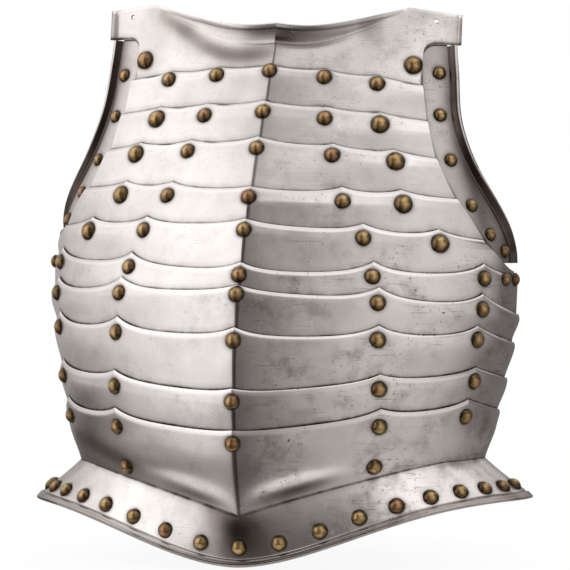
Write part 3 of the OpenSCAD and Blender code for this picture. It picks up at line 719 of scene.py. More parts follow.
def row_seats(row):
    """Points on the outer surface under a row's rivets: the skin at the row's lap."""
    u = row_places(row)[0]
    return skin(u, rivet_line(row, u), TOP_OFF[row + 1] + PLATE_T)


def lame_heights(n, u):
    """Grid heights of a lame at u from its upper to its lower edge, and the share of the upper lap's
    offset at each. It is whole at the lame's own rivets and none at the next row's, and between
    them it is the mean of a straight line and a smooth step."""
    row = n - 1
    top, low, next_edge = upper_edge(row, u), lower_edge(n, u), upper_edge(n, u)
    own = rivet_line(row, u) - dip(row, u) + HOLD_ABOVE
    under = np.minimum(rivet_line(n, u) - dip(n, u) + HOLD_BELOW, own - 1)
    z = np.concatenate([top - BEVEL_ROWS,
                        mix(top - BEVEL_ROWS[-1], next_edge, ease(LAME_ROWS)[1:, None]),
                        mix(next_edge, low, np.linspace(0, 1, UNDER_ROWS)[1:, None])])
    share = np.clip((z - under) / (own - under), 0, 1)
    return z, (share + smooth(share)) / 2


def lame_sheets(n):
    """Outer and inner grid of a lame, and its marks. Each row of the grid has its own columns, which
    end at the armhole, and its offset is mixed from those of the lower and the upper lap."""
    at_rivet = lame_heights(n, np.array([outer_u(n - 1)]))[0][:, 0]
    u = columns(n - 1, arm_u(at_rivet))
    every = [lame_heights(n, u[i]) for i in range(len(u))]
    z = np.stack([every[i][0][i] for i in range(len(u))])
    off = mix(LOW_OFF[n], TOP_OFF[n], np.stack([every[i][1][i] for i in range(len(u))]))
    own_edge = upper_edge(n - 1, u) - z
    front = skin(u, z, off + edge_off(own_edge))
    # Painted shade: dirt and painted shade above the next lame's edge and round the row's rivets, and
    # painted shade on the ridge's right flank.
    return front, skin(u, z, off), {
        "edge_gap": held(z - upper_edge(n, u)), "own_edge": held(own_edge),
        "rivet_gap": rivet_gap(front, row_seats(n - 1), row_places(n - 1)[1]),
        "stain_and_painted_shade": ridge_painted_shade(quarter_sine(u) * along(HALF_WIDE, z)), "swell": LAME_BENDS[n - 1] * z}


for n in range(1, 10):
    lame = shell(f"lame_{n}_steel", *lame_sheets(n))
    finish_steel(lame, f"lame_{n}", n, LAME_STAINED[n - 1])

# Waist plate: steel of the same sheet, drawn in to a sharp V-shaped crease and turned out below it
# as a flange. The flange's rim is turned over to a narrow lip, and a line is sunk above the lip.
# The steel is a little hollow on both sides of the ridge, where the crease was hammered in.
CREASE_DROP = 31
CREASE_HALF = 125
CREASE_CURVE = 1.15
RIM_HALF = 174
RIM_OUT = 100
RIM_SIDE_Z = -24.5
RIM_DROP = 38.5
RIM_CURVE = 0.9
RIM_LEVEL_FROM = 0.98
RIM_KEEL = 0.1
RIM_LIP = 2.5
LIP_DROP = 0.4
LIP_ROUND = 1.2
WAIST_ROW = 9
WAIST_SLIDE = 2.2
WAIST_RIVET_X = 85
LINING_UP = 10
LINING_STEP = 9.5
LINING_SIDE = 9
HOLLOWS = [(1, -36, 26, 9, 7), (0.9, 40, 26, 9, 7), (0.5, -58, 22, 26, 9)]
CREASE_DARK_REFLECTIONS = [(0.85, 36, 20, 6.5, 4), (0.5, -28, 20, 4.5, 3)]
CREASE_DIRT_AND_SHADE = 0.9
RIDGE_KEPT = 7
ABOVE_CREASE = 1.2
WAIST_ROWS = 56
FLANGE_START = 0.03
FLANGE_SPAN = (0.06, 0.88)
FLANGE_ROWS = 30
RIM_ROWS = [0.895, 0.905, 0.915, 0.925, 0.935, 0.95, 0.965, 0.98, 1.0]
RIM_SUNK = [0.05, 0.25, 0.5, 0.5, 0.25, -0.1, -0.35, -0.35, 0.0]
FLANGE_SOFT = 0.07
FLANGE_SAG = 1.3
FLANGE_BEND = 0.11
WAIST_STAINED = 1.0


def crease_z(u):
    """Height of the crease: it drops to the ridge as a power of the share of the way in."""
    f = np.maximum(0, 1 - along(HALF_WIDE, 0) * quarter_sine(np.abs(u)) / CREASE_HALF)
    return -CREASE_DROP * f ** CREASE_CURVE


def rim_point(u, lip):
    """Point of the rim before the waist's lean: on the oval, a lip's width further out, with a
    cosine drop of its height towards the ridge."""
    s = quarter_sine(np.abs(u))
    way = np.minimum(1, s ** RIM_CURVE / RIM_LEVEL_FROM)
    z = RIM_SIDE_Z - RIM_DROP * (0.5 + 0.5 * np.cos(math.pi * way))
    return np.stack([np.sign(u) * (RIM_HALF + lip) * s, -(RIM_OUT + lip) * oval(s, RIM_KEEL), z], -1)


def flange_mid(u, f):
    """Point on the flange, on lines from the crease at f = 0 to the rim at f = 1 that sag inwards as
    4 f (1 - f). Away from the crease the ridge is rounded off: its share s becomes the root of s
    squared plus a square."""
    u, f = np.broadcast_arrays(np.asarray(u, float), np.asarray(f, float))
    s = quarter_sine(np.abs(u))
    soft = np.minimum(1, np.hypot(s, FLANGE_SOFT * np.minimum(1, 2 * f) * (1 - s)))
    soft_u = quarter_arc(soft)
    top = body(soft_u, crease_z(soft_u))
    top[..., 0] = body(u, crease_z(u))[..., 0]
    middle = mix(top, rim_point(u, 0), f[..., None])
    middle[..., 1] += FLANGE_SAG * 4 * f * (1 - f) * (1 - s)
    middle[..., 0] -= np.sign(u) * FLANGE_SAG * 4 * f * (1 - f) * s
    return lean(middle)


def flange_normal(u, f):
    """Outward normal of the flange: the cross product of a step along u and the line to the rim."""
    near, away = np.minimum(1, u + RIDGE_ROUND), np.maximum(-1, u - RIDGE_ROUND)
    across = flange_mid(near, f) - flange_mid(away, f)
    return unit(np.cross(across, flange_mid(u, 0 * u) - flange_mid(u, 0 * u + 1)))


def waist_off(u, z):
    """Offset of the waist plate from the body: a smooth step from none at the crease to one lap,
    as low as the plate under it can reach when it slides."""
    flat = lower_edge(WAIST_ROW, u) - WAIST_SLIDE
    return LAP_STEP * smooth((z - crease_z(u)) / (flat - crease_z(u)))


def hollows(u, z):
    """Depth of the hollows beside the ridge: two lens shapes a little above the crease, and a
    shallow one above the left-hand lens. All fade out at the ridge, which stays sharp."""
    x = quarter_sine(u) * along(HALF_WIDE, z)
    return (1 - bell(x, RIDGE_KEPT)) * spots(x, z - crease_z(u), HOLLOWS)


def flange_long(u):
    """Length of the flange from the crease to the rim."""
    return np.linalg.norm(flange_mid(u, 0 * u) - flange_mid(u, 0 * u + 1), axis=-1)


def waist_seats():
    """Seats of the two lone rivets and their normals: the cross product of steps over the plate."""
    u = np.array([-1, 1]) * u_at(WAIST_RIVET_X, 0)

    def at(u, z):
        """Inner face of the waist plate."""
        return skin(u, z, waist_off(u, z))

    normals = unit(np.cross(at(u + 0.01, 0) - at(u - 0.01, 0), at(u, 1) - at(u, -1)))
    return at(u, 0) + PLATE_T * normals, normals


def lining_seats():
    """Seats of the rivets along the flange and their normals: at equal steps of u, a fixed way up
    from the rim."""
    u = LINING_STEP / 90 * np.arange(-LINING_SIDE, LINING_SIDE + 1)
    f = 1 - LINING_UP / flange_long(u)
    normals = flange_normal(u, f)
    return flange_mid(u, f) + PLATE_T * normals, normals


def waist_darkening_and_painted_shade(u, above, f):
    """Darkening of the waist plate: painted dark reflections above the crease, a wide darker place far to
    the left and one that leans, painted shade on the ridge's right flank, a painted dark reflection in the
    flange's middle, and painted shade in the sunk line above the lip and on the lip."""
    x = quarter_sine(u) * HALF_WIDE[0]
    dark_patches = (spots(x, above, CREASE_DARK_REFLECTIONS) + 0.28 * bell(x + 95, 38)
              + 0.4 * bell(x + 62 + 2 * above, 20) * bell(above - 14, 7))
    flange_dark_reflection = bell(x + 8 - 14 * f, 17) * bell(f - 0.45, 0.65)
    lip_painted_shade = 0.8 * bell(f - 0.922, 0.012) + 0.4 * smooth((f - 0.94) / 0.02)
    stain_and_painted_shade = np.concatenate([np.maximum(dark_patches, ridge_painted_shade(x)), 0 * u[None], flange_dark_reflection + lip_painted_shade,
                           0.4 + 0 * u[None]])
    return np.clip(stain_and_painted_shade, 0, 1)


def waist_sheets():
    """Outer and inner grid of the waist plate, and its marks: down to the crease, where both sheets
    meet at the angle's half, then out along the flange and over the rim."""
    u = columns(WAIST_ROW, 1.0)[0]
    top = upper_edge(WAIST_ROW, u)
    crease = crease_z(u)
    last = crease + ABOVE_CREASE
    z = np.concatenate([top - BEVEL_ROWS, mix(top - BEVEL_ROWS[-1], last, ease(WAIST_ROWS)[1:, None])])
    wide_u = np.broadcast_to(u, z.shape)
    off = waist_off(wide_u, z) - hollows(wide_u, z)
    body_n = body_normal(u, crease)
    half = unit(body_n + flange_normal(u, 0 * u))
    mitre = 1 / np.sum(half * body_n, -1)
    f = np.concatenate([[FLANGE_START], np.linspace(*FLANGE_SPAN, FLANGE_ROWS), RIM_ROWS])
    sunk = np.concatenate([np.zeros(FLANGE_ROWS + 1), RIM_SUNK])
    f = np.broadcast_to(f[:, None], (len(f), len(u)))
    fu = np.broadcast_to(u, f.shape)

    def sheet(thick_body, thick, lip_t):
        """Face of the plate at offsets from its inner one, above the crease and along the flange,
        and over the lip."""
        upper = skin(wide_u, z, off + thick_body)
        middle = leaned(u, crease) + (mitre * thick)[:, None] * half
        lower = flange_mid(fu, f) + (thick - sunk[:, None])[..., None] * flange_normal(fu, f)
        tip = rim_point(u, RIM_LIP)
        tip[:, 2] -= LIP_ROUND * (PLATE_T - lip_t) + LIP_DROP
        return np.concatenate([upper, middle[None], lower, lean(tip)[None]])

    front = sheet(edge_off(z[0] - z), PLATE_T, PLATE_T)
    long = flange_long(u)
    from_crease = np.concatenate([z - crease, 0 * u[None], f * long, long[None]])
    seats = np.concatenate([row_seats(WAIST_ROW), waist_seats()[0], lining_seats()[0]])
    own = np.concatenate([top - z, FAR + np.zeros((len(f) + 2, len(u)))])
    swell = np.concatenate([0 * z, 0 * u[None], FLANGE_BEND * f * long, (FLANGE_BEND * long)[None]])
    # Painted shade: dirt and painted shade darken the steel on both sides of the crease and round the
    # rivets.
    return front, sheet(0 * z, 0.0, 0.0), {
        "edge_gap": held(from_crease * CREASE_DIRT_AND_SHADE), "own_edge": own,
        "rivet_gap": rivet_gap(front, seats, HEAD_R), "stain_and_painted_shade": waist_darkening_and_painted_shade(u, z - crease, f), "swell": swell}


waist_plate = shell("waist_plate_steel", *waist_sheets())
finish_steel(waist_plate, "waist_plate", 10, WAIST_STAINED)

# Gussets: a bent steel band behind the ends of the upper lames at each armhole, held by a pivot
# rivet at the top. Its outer edge is curled out to a tall lip, hollow towards the front.
GUSSET_SHARE = 0.08
GUSSET_SPREAD = 0.02
GUSSET_LAP = 11
GUSSET_LIP = 7
GUSSET_LOW_Z = 141
GUSSET_HIGH_Z = 286.5
LIP_LOW_Z = ARM_LOW_Z + 12
SPREAD_OVER = 35
LIP_R = 2.5
LIP_TURN = 70
LIP_OUT = 0.55
LIP_ASIDE = 0.45
LIP_ROLL = 1.6
BAND_UP = 5
PIVOT_MARGIN = 16
WIDEN_OVER = 20
GUSSET_RIVET_Z = np.array([265, 236, 205.5, 179, 160, 149])
GUSSET_RIVET_SHARE = np.array([0.6, 0.54, 0.47, 0.32, 0.32, 0.55])
LEVEL_RIVETS = 3
GUSSET_ROWS = 141
BAND_COLUMNS = 25
CURL_COLUMNS = 11
LIP_WEAR = 8
TONGUE_FROM = 0.96
ROLL_FROM = 0.72
EDGE_BRIGHT_FROM = 0.78
EDGE_BRIGHT_OVER = 0.12
GUSSET_STAINED = 0.6
SIDES = {"left": 1, "right": -1}


def gusset_u(z):
    """Place of the foot of a gusset's lip along its height: the arc of one less a smooth step that
    starts above the lip's low end, plus a smaller one above the armhole's top."""
    share = GUSSET_SHARE * smooth((z - LIP_LOW_Z) / (ARM_HIGH_Z - LIP_LOW_Z))
    return quarter_arc(1 - share + GUSSET_SPREAD * smooth((z - ARM_HIGH_Z) / SPREAD_OVER))


def gusset_places(side):
    """Places u and z of a gusset's own rivets. The upper ones stand level at both sides, so they
    give up the lean of the rows."""
    level = GUSSET_RIVET_Z
    x = side * along(HALF_WIDE, level) * (1 - ARM_SHARE)
    rise = leaned(u_at(np.abs(x), level) * side, level)[:, 2] - level
    z = np.where(np.arange(len(level)) < LEVEL_RIVETS, level - rise, level)
    return side * mix(arm_u(z), gusset_u(z), GUSSET_RIVET_SHARE), z


def gusset_seats(side):
    """Points on the outer surface of a gusset under its own rivets: the skin one lap in."""
    return skin(*gusset_places(side), PLATE_T - LAP_STEP)


def gusset_sheets(side):
    """Outer and inner grid of a gusset, and its marks: across its band, round the lip's curl on an arc,
    straight on, and over a small roll at the lip's edge. The band grows a tongue up under the shoulder, and
    its dirt and painted shade start where the lames end; its lip carries painted shade in the hollow of its
    curl and along the band beside it."""
    z = np.linspace(GUSSET_HIGH_Z, GUSSET_LOW_Z, GUSSET_ROWS)[:, None]
    wide = along(HALF_WIDE, z)
    pivot_lap = along(HALF_WIDE, PIVOT_Z) * (1 - ARM_SHARE) - PIVOT_X + PIVOT_MARGIN
    lap = mix(GUSSET_LAP, pivot_lap, smooth((z - PIVOT_Z + WIDEN_OVER) / WIDEN_OVER))
    u_in = u_at(wide * quarter_sine(arm_u(z)) - lap, z)
    u_out = gusset_u(z)
    share = np.linspace(0, 1, BAND_COLUMNS)
    flat = mix(u_in, u_out, share)
    tongue = (BAND_UP * smooth((z - PIVOT_Z) / (GUSSET_HIGH_Z - PIVOT_Z))
              * (1 - smooth((share - TONGUE_FROM) / (1 - TONGUE_FROM))))
    turn = np.linspace(0, math.radians(LIP_TURN), CURL_COLUMNS)[1:]
    on = np.linspace(0, 1, CURL_COLUMNS)[1:]
    roll = LIP_ROLL * smooth((on - ROLL_FROM) / (1 - ROLL_FROM))

    def sheet(off):
        """Face of the gusset at an offset from its inner one."""
        points = skin(side * flat, z + tongue, off - LAP_STEP)
        foot, n = points[:, -1:], body_normal(side * u_out, z)
        across = side * unit(np.cross([0, 0, 1.0], n))
        bent = foot + (LIP_R - off) * (across * np.sin(turn)[:, None] + n * (1 - np.cos(turn))[:, None])
        rise = GUSSET_LIP * on[:, None] * (LIP_OUT * n + LIP_ASIDE * across)
        straight = bent[:, -1:] + rise + roll[:, None] * (0.5 * across - 0.5 * n)
        whole = np.concatenate([points, bent, straight], 1)
        return whole if side > 0 else whole[:, ::-1]

    from_lames = wide * (quarter_sine(flat) - quarter_sine(arm_u(z)))
    on_lip = LIP_WEAR + 0 * z * np.concatenate([turn, on])
    gap = np.concatenate([np.minimum(from_lames, SHOULDER_LOW_Z - z), on_lip], 1)
    # Painted shade: the band darkens towards the lip, the lip's hollow curl and straight part are dark and
    # only its outer edge is left light; the band's low base tone is a real stain.
    stain_and_painted_shade = np.concatenate([0.14 + 0.6 * share ** 5, mix(0.8, 1, smooth(turn / turn[-1])),
                           1 - smooth((on - EDGE_BRIGHT_FROM) / EDGE_BRIGHT_OVER)])
    order = slice(None) if side > 0 else slice(None, None, -1)
    front = sheet(PLATE_T)
    return front, sheet(0.0), {
        "edge_gap": held(gap)[:, order], "own_edge": FAR + 0 * gap,
        "rivet_gap": rivet_gap(front, gusset_seats(side), SIDE_HEAD_R),
        "stain_and_painted_shade": np.broadcast_to(stain_and_painted_shade, gap.shape)[:, order]}


for word, side in SIDES.items():
    gusset = shell(f"gusset_{word}_steel", *gusset_sheets(side))
    finish_steel(gusset, f"gusset_{word}", 12 + side, GUSSET_STAINED)

# Rivets: brass shanks with domed heads, hammered by hand, so no head is quite round. The brass has
# gone brown, some heads redder than others, and each shank is spread over its washer inside.
HEAD_DOME = 0.68
SHANK_R = 1.9
SPREAD_R = 0.8
SPREAD_H = 0.7
SEGMENTS = 28
DOME_ROWS = 9
RIM_RING = (1.0, 0.02)
FOOT_R = [0.985, 0.93]
FOOT_H = [-0.045, -0.08]
OUT_OF_ROUND = 0.028
ROW_GRIP = 2.2
FIXED_GRIP = 1.95
PIVOT_GRIP = 4.0
ROW_INNER = ROW_GRIP + SPREAD_H
FIXED_INNER = FIXED_GRIP + SPREAD_H
PIVOT_INNER = PIVOT_GRIP + SPREAD_H
CAD_STEP = 2.5
CAD_LAPS = [0, 0, 0, 0, 0, 0, 1, 0.5, 0, 0]
BRASS_BRIGHT = (0.54, 0.36, 0.165)
BRASS_RED = (0.5, 0.27, 0.14)
BRASS_DARK = (0.05, 0.032, 0.018)
DENTS_HIGH = 0.3
GRAIN_HIGH = 0.03


def head_profile():
    """Radii and heights down a head of radius 1: an arc of a ball to the rim, and a rounded foot."""
    ball = (1 + HEAD_DOME ** 2) / (2 * HEAD_DOME)
    arc = math.asin(1 / ball) * (np.arange(1, DOME_ROWS + 1) / DOME_ROWS)
    dome_r, dome_h = ball * np.sin(arc), ball * np.cos(arc) - ball + HEAD_DOME
    dome_r[-1], dome_h[-1] = RIM_RING
    return np.concatenate([dome_r, FOOT_R]), np.concatenate([dome_h, FOOT_H])


def ring_quads(rings, sides):
    """Quads between rings of so many points, each ring closed round."""
    at = np.arange(rings * sides).reshape(rings, sides)
    after = np.roll(at, -1, 1)
    return np.stack([at[:-1], at[1:], after[1:], after[:-1]], -1).reshape(-1, 4)


def rivet_faces(rings):
    """Faces of one rivet: quads between its rings, then fans to its top and to its end, whose points
    come after the rings'."""
    first = np.arange(SEGMENTS)
    last = first + (rings - 1) * SEGMENTS
    top, end = np.full(SEGMENTS, rings * SEGMENTS), np.full(SEGMENTS, rings * SEGMENTS + 1)
    fans = np.concatenate([np.stack([top, first, np.roll(first, -1)], -1),
                           np.stack([end, np.roll(last, -1), last], -1)])
    return ring_quads(rings, SEGMENTS), fans


def rivet_heads(name, seats, normals, radii, lengths, seed, slope=None):
    """Rivets as one mesh. Each is a profile turned round its normal: a dome of a sphere, a rounded
    foot, the shank and its spread end at a length below the seat. Two, three and five waves round
    the head push it out of round. A slope lets the foot reach down both sides of the ridge."""
    rng = np.random.default_rng(seed)
    count = len(seats)
    radii = np.broadcast_to(np.asarray(radii, float), count)
    lengths = np.broadcast_to(np.asarray(lengths, float), count)
    slope = np.zeros(count) if slope is None else slope
    head_r, head_h = head_profile()
    turn = 2 * math.pi * np.arange(SEGMENTS) / SEGMENTS
    waves = 1 + sum(OUT_OF_ROUND * rng.random((count, 1)) * np.cos(k * turn + 6.3 * rng.random((count, 1)))
                    for k in (2, 3, 5))
    shank = np.broadcast_to([SHANK_R, SHANK_R, SHANK_R + SPREAD_R, SHANK_R + SPREAD_R], (count, 4))
    r = np.concatenate([radii[:, None] * head_r, shank], 1)
    end = -lengths[:, None]
    h = np.concatenate([radii[:, None] * head_h, FOOT_H[-1] * radii[:, None],
                        SPREAD_H + end, SPREAD_H + end, end], 1)
    head_only = [1, 1, 0, 0, 0, 0]
    wave_here = np.concatenate([np.linspace(0.3, 1, DOME_ROWS), head_only])
    radius = r[..., None] * (1 + (waves - 1)[:, None] * wave_here[:, None])
    aside = unit(np.cross([0, 0, 1.0], normals))
    upward = np.cross(normals, aside)
    reach = np.concatenate([np.linspace(0, 1, DOME_ROWS) ** 6, head_only])[:, None]
    height = h[..., None] - slope[:, None, None] * np.abs(radius * np.cos(turn)) * reach
    spoke = np.cos(turn)[:, None] * aside[:, None, None] + np.sin(turn)[:, None] * upward[:, None, None]
    points = (seats[:, None, None] + radius[..., None] * spoke + height[..., None] * normals[:, None, None])
    tops = seats + (radii * HEAD_DOME)[:, None] * normals
    ends = seats - lengths[:, None] * normals
    each = np.concatenate([points.reshape(count, -1, 3), tops[:, None], ends[:, None]], 1)
    quads, fans = rivet_faces(r.shape[1])
    size = each.shape[1]
    faces = []
    for i in range(count):
        faces += (quads + i * size).tolist() + (fans + i * size).tolist()
    piece = new_piece(name, each.reshape(-1, 3), faces, sharp=50)
    from_top = np.concatenate([np.linspace(0, 1, DOME_ROWS), np.ones(len(head_only))])
    share = np.concatenate([np.repeat(from_top, SEGMENTS), [0, 1]])
    add_mark(piece, "redness", np.repeat(rng.random(count), size))
    add_mark(piece, "rim", np.tile(share, count))
    return piece


def brass(name):
    """Old brass: bright or reddish on top where it is rubbed, darker to the rim as tarnish and a painted
    dark reflection, with dents.
    """
    material, tree, shader, where = bare_metal(name)
    blotch = noise(tree, where, 280, 4, 0.6)
    dents = noise(tree, where, 200, 1, 0.4)
    grain = noise(tree, where, 1500, 3, 0.6)
    rubbed = blend_colour(tree, ramp(tree, mark_of(tree, "redness"), (0.55, 0.0), (0.95, 1.0)),
                          BRASS_BRIGHT, BRASS_RED)
    tone = blend_colour(tree, ramp(tree, blotch, (0.45, 0.0), (0.75, 0.6)), rubbed, BRASS_DARK)
    # Painted reflection: the head darkens towards its rim, partly tarnish and partly a painted dark
    # reflection of the steel round it.
    tarnish_and_rim_shade = ramp(tree, plus(tree, mark_of(tree, "rim"), times(tree, blotch, 0.25)),
                   (0.3, 0.0), (0.62, 0.62), (0.85, 0.85), (1.0, 0.97))
    tone = blend_colour(tree, tarnish_and_rim_shade, tone, BRASS_DARK)
    rough = ramp(tree, blotch, (0.3, 0.25), (0.75, 0.36))
    height = plus(tree, times(tree, dents, DENTS_HIGH), times(tree, grain, GRAIN_HIGH))
    finish_shader(tree, shader, tone, rough, height)
    return material


brass_material = brass("brass_rivets")


def finish_brass(piece, node, body_name):
    """Gives rivets their brass, and the place of the CAD node that they stand for."""
    piece.data.materials.append(brass_material)
    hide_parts(node)
    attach(piece, body_name)


BODY_OF_ROW = [f"lame_{n}" for n in range(1, 10)] + ["waist_plate"]
for row in range(10):
    u, radii = row_places(row)
    z = rivet_line(row, u)
    lengths = TOP_OFF[row + 1] + PLATE_T - (CAD_LAPS[row] * CAD_STEP - ROW_INNER)
    slope = np.where(u == 0, along(RIDGE_OUT, z) * along(KEEL, z) / (2 * along(HALF_WIDE, z)), 0)
    rivets = rivet_heads(f"rivets_row_{row + 1}_brass", row_seats(row), body_normal(u, z), radii, lengths,
                         row + 1, slope)
    finish_brass(rivets, f"rivets_row_{row + 1}", BODY_OF_ROW[row])

waist_rivets = rivet_heads("waist_rivets_brass", *waist_seats(), HEAD_R, PLATE_T + FIXED_INNER, 11)
finish_brass(waist_rivets, "waist_rivets", "waist_plate")
flange_rivets = rivet_heads("flange_rivets_brass", *lining_seats(), HEAD_R, PLATE_T + FIXED_INNER, 12)
finish_brass(flange_rivets, "flange_rivets", "waist_plate")

for word, side in SIDES.items():
    u, z = gusset_places(side)
    rivets = rivet_heads(f"gusset_rivets_{word}_brass", gusset_seats(side), body_normal(u, z), SIDE_HEAD_R,
                         PLATE_T - LAP_STEP + CAD_STEP + FIXED_INNER, 14 + side)
    finish_brass(rivets, f"gusset_rivets_{word}", f"gusset_{word}")
    u, z = np.array([side * u_at(PIVOT_X, PIVOT_Z)]), np.array([PIVOT_Z])
    pivot = rivet_heads(f"gusset_pivot_{word}_brass", skin(u, z, PLATE_T), body_normal(u, z), BIG_HEAD_R,
                        PLATE_T + PIVOT_INNER, 17 + side)
    finish_brass(pivot, f"gusset_pivot_{word}", "top_plate")

# Washers: plain rings punched from dark iron sheet, under the spread ends of the rivets.
IRON_TONE = (0.2, 0.185, 0.17)
IRON_RUST = (0.16, 0.085, 0.045)
IRON_SCALE = (0.4, 0.0004)


def iron(name):
    """Dark iron with patches of rust and a rough scale, whose strength and step are a pair."""
    material, tree, shader, where = bare_metal(name, 0.9)
    patches = noise(tree, where, 300, 4, 0.6)
    tone = blend_colour(tree, ramp(tree, patches, (0.45, 0.0), (0.7, 1.0)), IRON_TONE, IRON_RUST)
    rough = ramp(tree, patches, (0.3, 0.45), (0.75, 0.75))
    finish_shader(tree, shader, tone, rough, noise(tree, where, 900, 3), *IRON_SCALE)
    return material


iron_material = iron("iron_washers")
for node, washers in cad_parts.items():
    if "washer" in node:
        washers.data.materials.clear()
        washers.data.materials.append(iron_material)

# Studio: a white floor under the rim, and a light tent of pale and grey cloth round the object,
# brightest on the viewer's left and darkest straight before the ridge. The backdrop is white.
FLOOR_Z = -0.069
FLOOR_HALF = 4
FLOOR_TONE = (0.8, 0.795, 0.79, 1)
TENT_R = 2.7
TENT_Z = 3.0
TENT_HOLE = (0.2, 0.145)
SKIRT_R = 0.6
SKIRT_UP = 0.001
TENT_SIDES = 48
TENT_MIDDLE_Z = 0.15

floor_mesh = bpy.data.meshes.new("floor")
floor_corners = [(-1, -1), (1, -1), (1, 1), (-1, 1)]
floor_points = [(FLOOR_HALF * x, FLOOR_HALF * y, FLOOR_Z) for x, y in floor_corners]
floor_mesh.from_pydata(floor_points, [], [(0, 1, 2, 3)])
floor = bpy.data.objects.new("floor", floor_mesh)
bpy.context.scene.collection.objects.link(floor)


def vector_node(tree, operation, *vectors):
    """Node for one operation on vectors or sockets."""
    inputs = {f"i{number}": vector for number, vector in enumerate(vectors)}
    return add_node(tree, "ShaderNodeVectorMath", [("operation", operation)], **inputs)


def seen_directly(tree):
    """1 for camera, glossy and transmission rays, which see the white backdrop, and 0 for others."""
    path = add_node(tree, "ShaderNodeLightPath").outputs
    seen = larger(tree, path["Is Camera Ray"], path["Is Glossy Ray"])
    return larger(tree, seen, path["Is Transmission Ray"])


floor_material = bpy.data.materials.new("floor_pale")
floor_material.use_nodes = True
floor_tree = floor_material.node_tree
cloth = floor_tree.nodes["Principled BSDF"]
cloth.inputs["Base Color"].default_value = FLOOR_TONE
cloth.inputs["Roughness"].default_value = 0.8
white = add_node(floor_tree, "ShaderNodeEmission", Color=(1, 1, 1, 1), Strength=1.0)
floor_place = add_node(floor_tree, "ShaderNodeTexCoord").outputs["Object"]
from_object = vector_node(floor_tree, "LENGTH", floor_place).outputs["Value"]
whiteness = ramp(floor_tree, from_object, (0.1, 0.9), (0.21, 1.0))
join = add_node(floor_tree, "ShaderNodeMixShader", i1=cloth.outputs[0], i2=white.outputs[0],
                i0=times(floor_tree, seen_directly(floor_tree), whiteness))
floor_tree.links.new(join.outputs[0], floor_tree.nodes["Material Output"].inputs["Surface"])
floor_mesh.materials.append(floor_material)


def tent_cloth():
    """Tent cloth, whose glow changes with the direction from the object: round the tent in six
    bands from the floor to the top, and from band to band by the sine of the direction's rise."""
    material = bpy.data.materials.new("tent_cloth")
    material.use_nodes = True
    tree = material.node_tree
    tree.nodes.clear()
    place = add_node(tree, "ShaderNodeTexCoord").outputs["Object"]
    from_middle = vector_node(tree, "SUBTRACT", place, (0, 0, TENT_MIDDLE_Z)).outputs[0]
    way = vector_node(tree, "NORMALIZE", from_middle).outputs[0]
    parts = add_node(tree, "ShaderNodeSeparateXYZ", Vector=way).outputs
    turned = math_node(tree, "ARCTAN2", parts["X"], times(tree, parts["Y"], -1.0))
    round_share = plus(tree, times(tree, turned, 1 / (2 * math.pi)), 0.5)
    rise = plus(tree, times(tree, parts["Z"], 0.5), 0.5)

    def band(*stops):
        """Ramp round the tent, from stops of degrees to the right of the front and grey level. The
        darker the cloth, the warmer it is."""
        tones = [(level, level * mix(0.93, 1, min(1, level)), level * mix(0.9, 1, min(1, level)))
                 for _, level in stops]
        places = [angle / 360 + 0.5 for angle, _ in stops]
        return ramp(tree, round_share, *zip(places, tones))

    bands = [
        band((-180, 0.2), (-75, 0.2), (-40, 0.32), (-28, 0.4), (-16, 0.08), (6, 0.1), (18, 0.26),
             (35, 0.5), (62, 0.6), (100, 0.42), (180, 0.4)),
        band((-180, 0.2), (-90, 0.13), (-68, 0.55), (-50, 0.92), (-36, 1.05), (-25, 0.2), (2, 0.05),
             (10, 0.24), (20, 0.46), (40, 0.62), (70, 0.58), (100, 0.18), (180, 0.2)),
        band((-180, 0.3), (-136, 0.45), (-98, 0.74), (-70, 0.86), (-50, 1.15), (-32, 1.25), (-22, 0.3),
             (2, 0.1), (12, 0.38), (30, 0.68), (45, 0.84), (70, 0.78), (88, 0.58), (115, 0.13), (180, 0.2)),
        band((-180, 0.4), (-136, 0.5), (-98, 0.95), (-75, 1.25), (-50, 1.4), (-34, 1.3), (-23, 0.05),
             (-6, 0.06), (5, 0.3), (20, 0.57), (40, 0.85), (70, 0.78), (92, 0.05), (130, 0.6), (180, 0.7)),
        band((-180, 0.9), (-100, 1.25), (-60, 1.4), (-40, 1.1), (-26, 0.25), (-15, 0.35), (-6, 0.7),
             (4, 0.95), (14, 1.1), (45, 1.35), (85, 1.0), (180, 1.0)),
        band((-180, 0.9), (-80, 1.0), (-15, 0.8), (5, 0.85), (25, 1.0), (85, 1.12), (180, 1.0))]
    changes_at = [(-46, -33), (-25, -8), (8, 22), (42, 49), (60, 70)]
    glow = bands[0]
    for degrees, upper_band in zip(changes_at, bands[1:]):
        ends = [0.5 + 0.5 * math.sin(math.radians(angle)) for angle in degrees]
        glow = blend_colour(tree, ramp(tree, rise, (ends[0], 0.0), (ends[1], 1.0)), glow, upper_band)
    lit = add_node(tree, "ShaderNodeEmission", Color=glow, Strength=1.0)
    add_node(tree, "ShaderNodeOutputMaterial", Surface=lit.outputs[0])
    return material


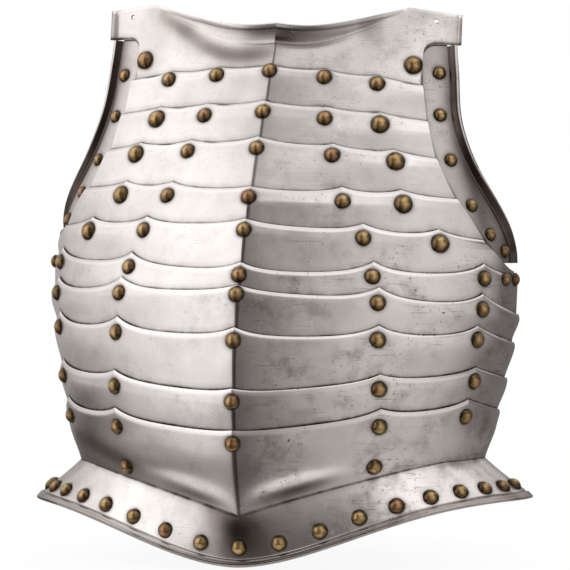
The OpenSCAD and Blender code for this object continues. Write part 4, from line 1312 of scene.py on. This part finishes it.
def tent_piece():
    """Tent from rings of two half widths and a height: out over the floor from an oval hole round
    the rim, up the wall and in over the top."""
    skirt_z = FLOOR_Z + SKIRT_UP
    round_rings = [(SKIRT_R, skirt_z), (TENT_R, skirt_z), (TENT_R, TENT_Z / 2), (TENT_R, TENT_Z),
                   (TENT_R / 2, TENT_Z), (0.01, TENT_Z)]
    profile = np.array([(*TENT_HOLE, skirt_z)] + [(r, r, z) for r, z in round_rings])
    turn = np.linspace(0, 2 * math.pi, TENT_SIDES + 1)[:-1]
    x = profile[:, :1] * np.cos(turn)
    y = profile[:, 1:2] * np.sin(turn)
    points = np.stack([x, y, np.broadcast_to(profile[:, 2:], x.shape)], -1).reshape(-1, 3)
    mesh = bpy.data.meshes.new("tent")
    mesh.from_pydata(points.tolist(), [], ring_quads(len(profile), TENT_SIDES).tolist())
    mesh.materials.append(tent_cloth())
    piece = bpy.data.objects.new("tent", mesh)
    piece.visible_camera = False
    bpy.context.scene.collection.objects.link(piece)
    return piece


tent_piece()

world = bpy.data.worlds.new("studio")
bpy.context.scene.world = world
world.use_nodes = True
sky = world.node_tree
shown = blend_colour(sky, seen_directly(sky), (0.8, 0.8, 0.8), (1, 1, 1))
sky.links.new(shown, sky.nodes["Background"].inputs["Color"])

CAMERA_AZIMUTH = math.radians(16)
CAMERA_AWAY = 1.8
CAMERA_ASIDE = 0.0012
CAMERA_Z = 0.1356
CAMERA_ROLL = math.radians(-0.51)
FOCAL_PX = 2597.4
FRAME_PX = 570
HORIZON_PX = 262
SENSOR = 36
right = Vector((math.cos(CAMERA_AZIMUTH), math.sin(CAMERA_AZIMUTH), 0))
ahead = Vector((-math.sin(CAMERA_AZIMUTH), math.cos(CAMERA_AZIMUTH), 0))
up = Vector((0, 0, 1))
camera_right = right * math.cos(CAMERA_ROLL) - up * math.sin(CAMERA_ROLL)
camera_up = right * math.sin(CAMERA_ROLL) + up * math.cos(CAMERA_ROLL)
place = -ahead * CAMERA_AWAY + right * CAMERA_ASIDE + up * CAMERA_Z
camera = bpy.data.objects.new("camera", bpy.data.cameras.new("camera"))
bpy.context.scene.collection.objects.link(camera)
facing = Matrix((camera_right, camera_up, -ahead)).transposed().to_4x4()
camera.matrix_world = Matrix.Translation(place) @ facing
camera.data.sensor_width = SENSOR
camera.data.lens = SENSOR * FOCAL_PX / FRAME_PX
camera.data.shift_y = (HORIZON_PX - FRAME_PX / 2) / FRAME_PX
bpy.context.scene.camera = camera
bpy.context.scene.view_settings.view_transform = "Standard"
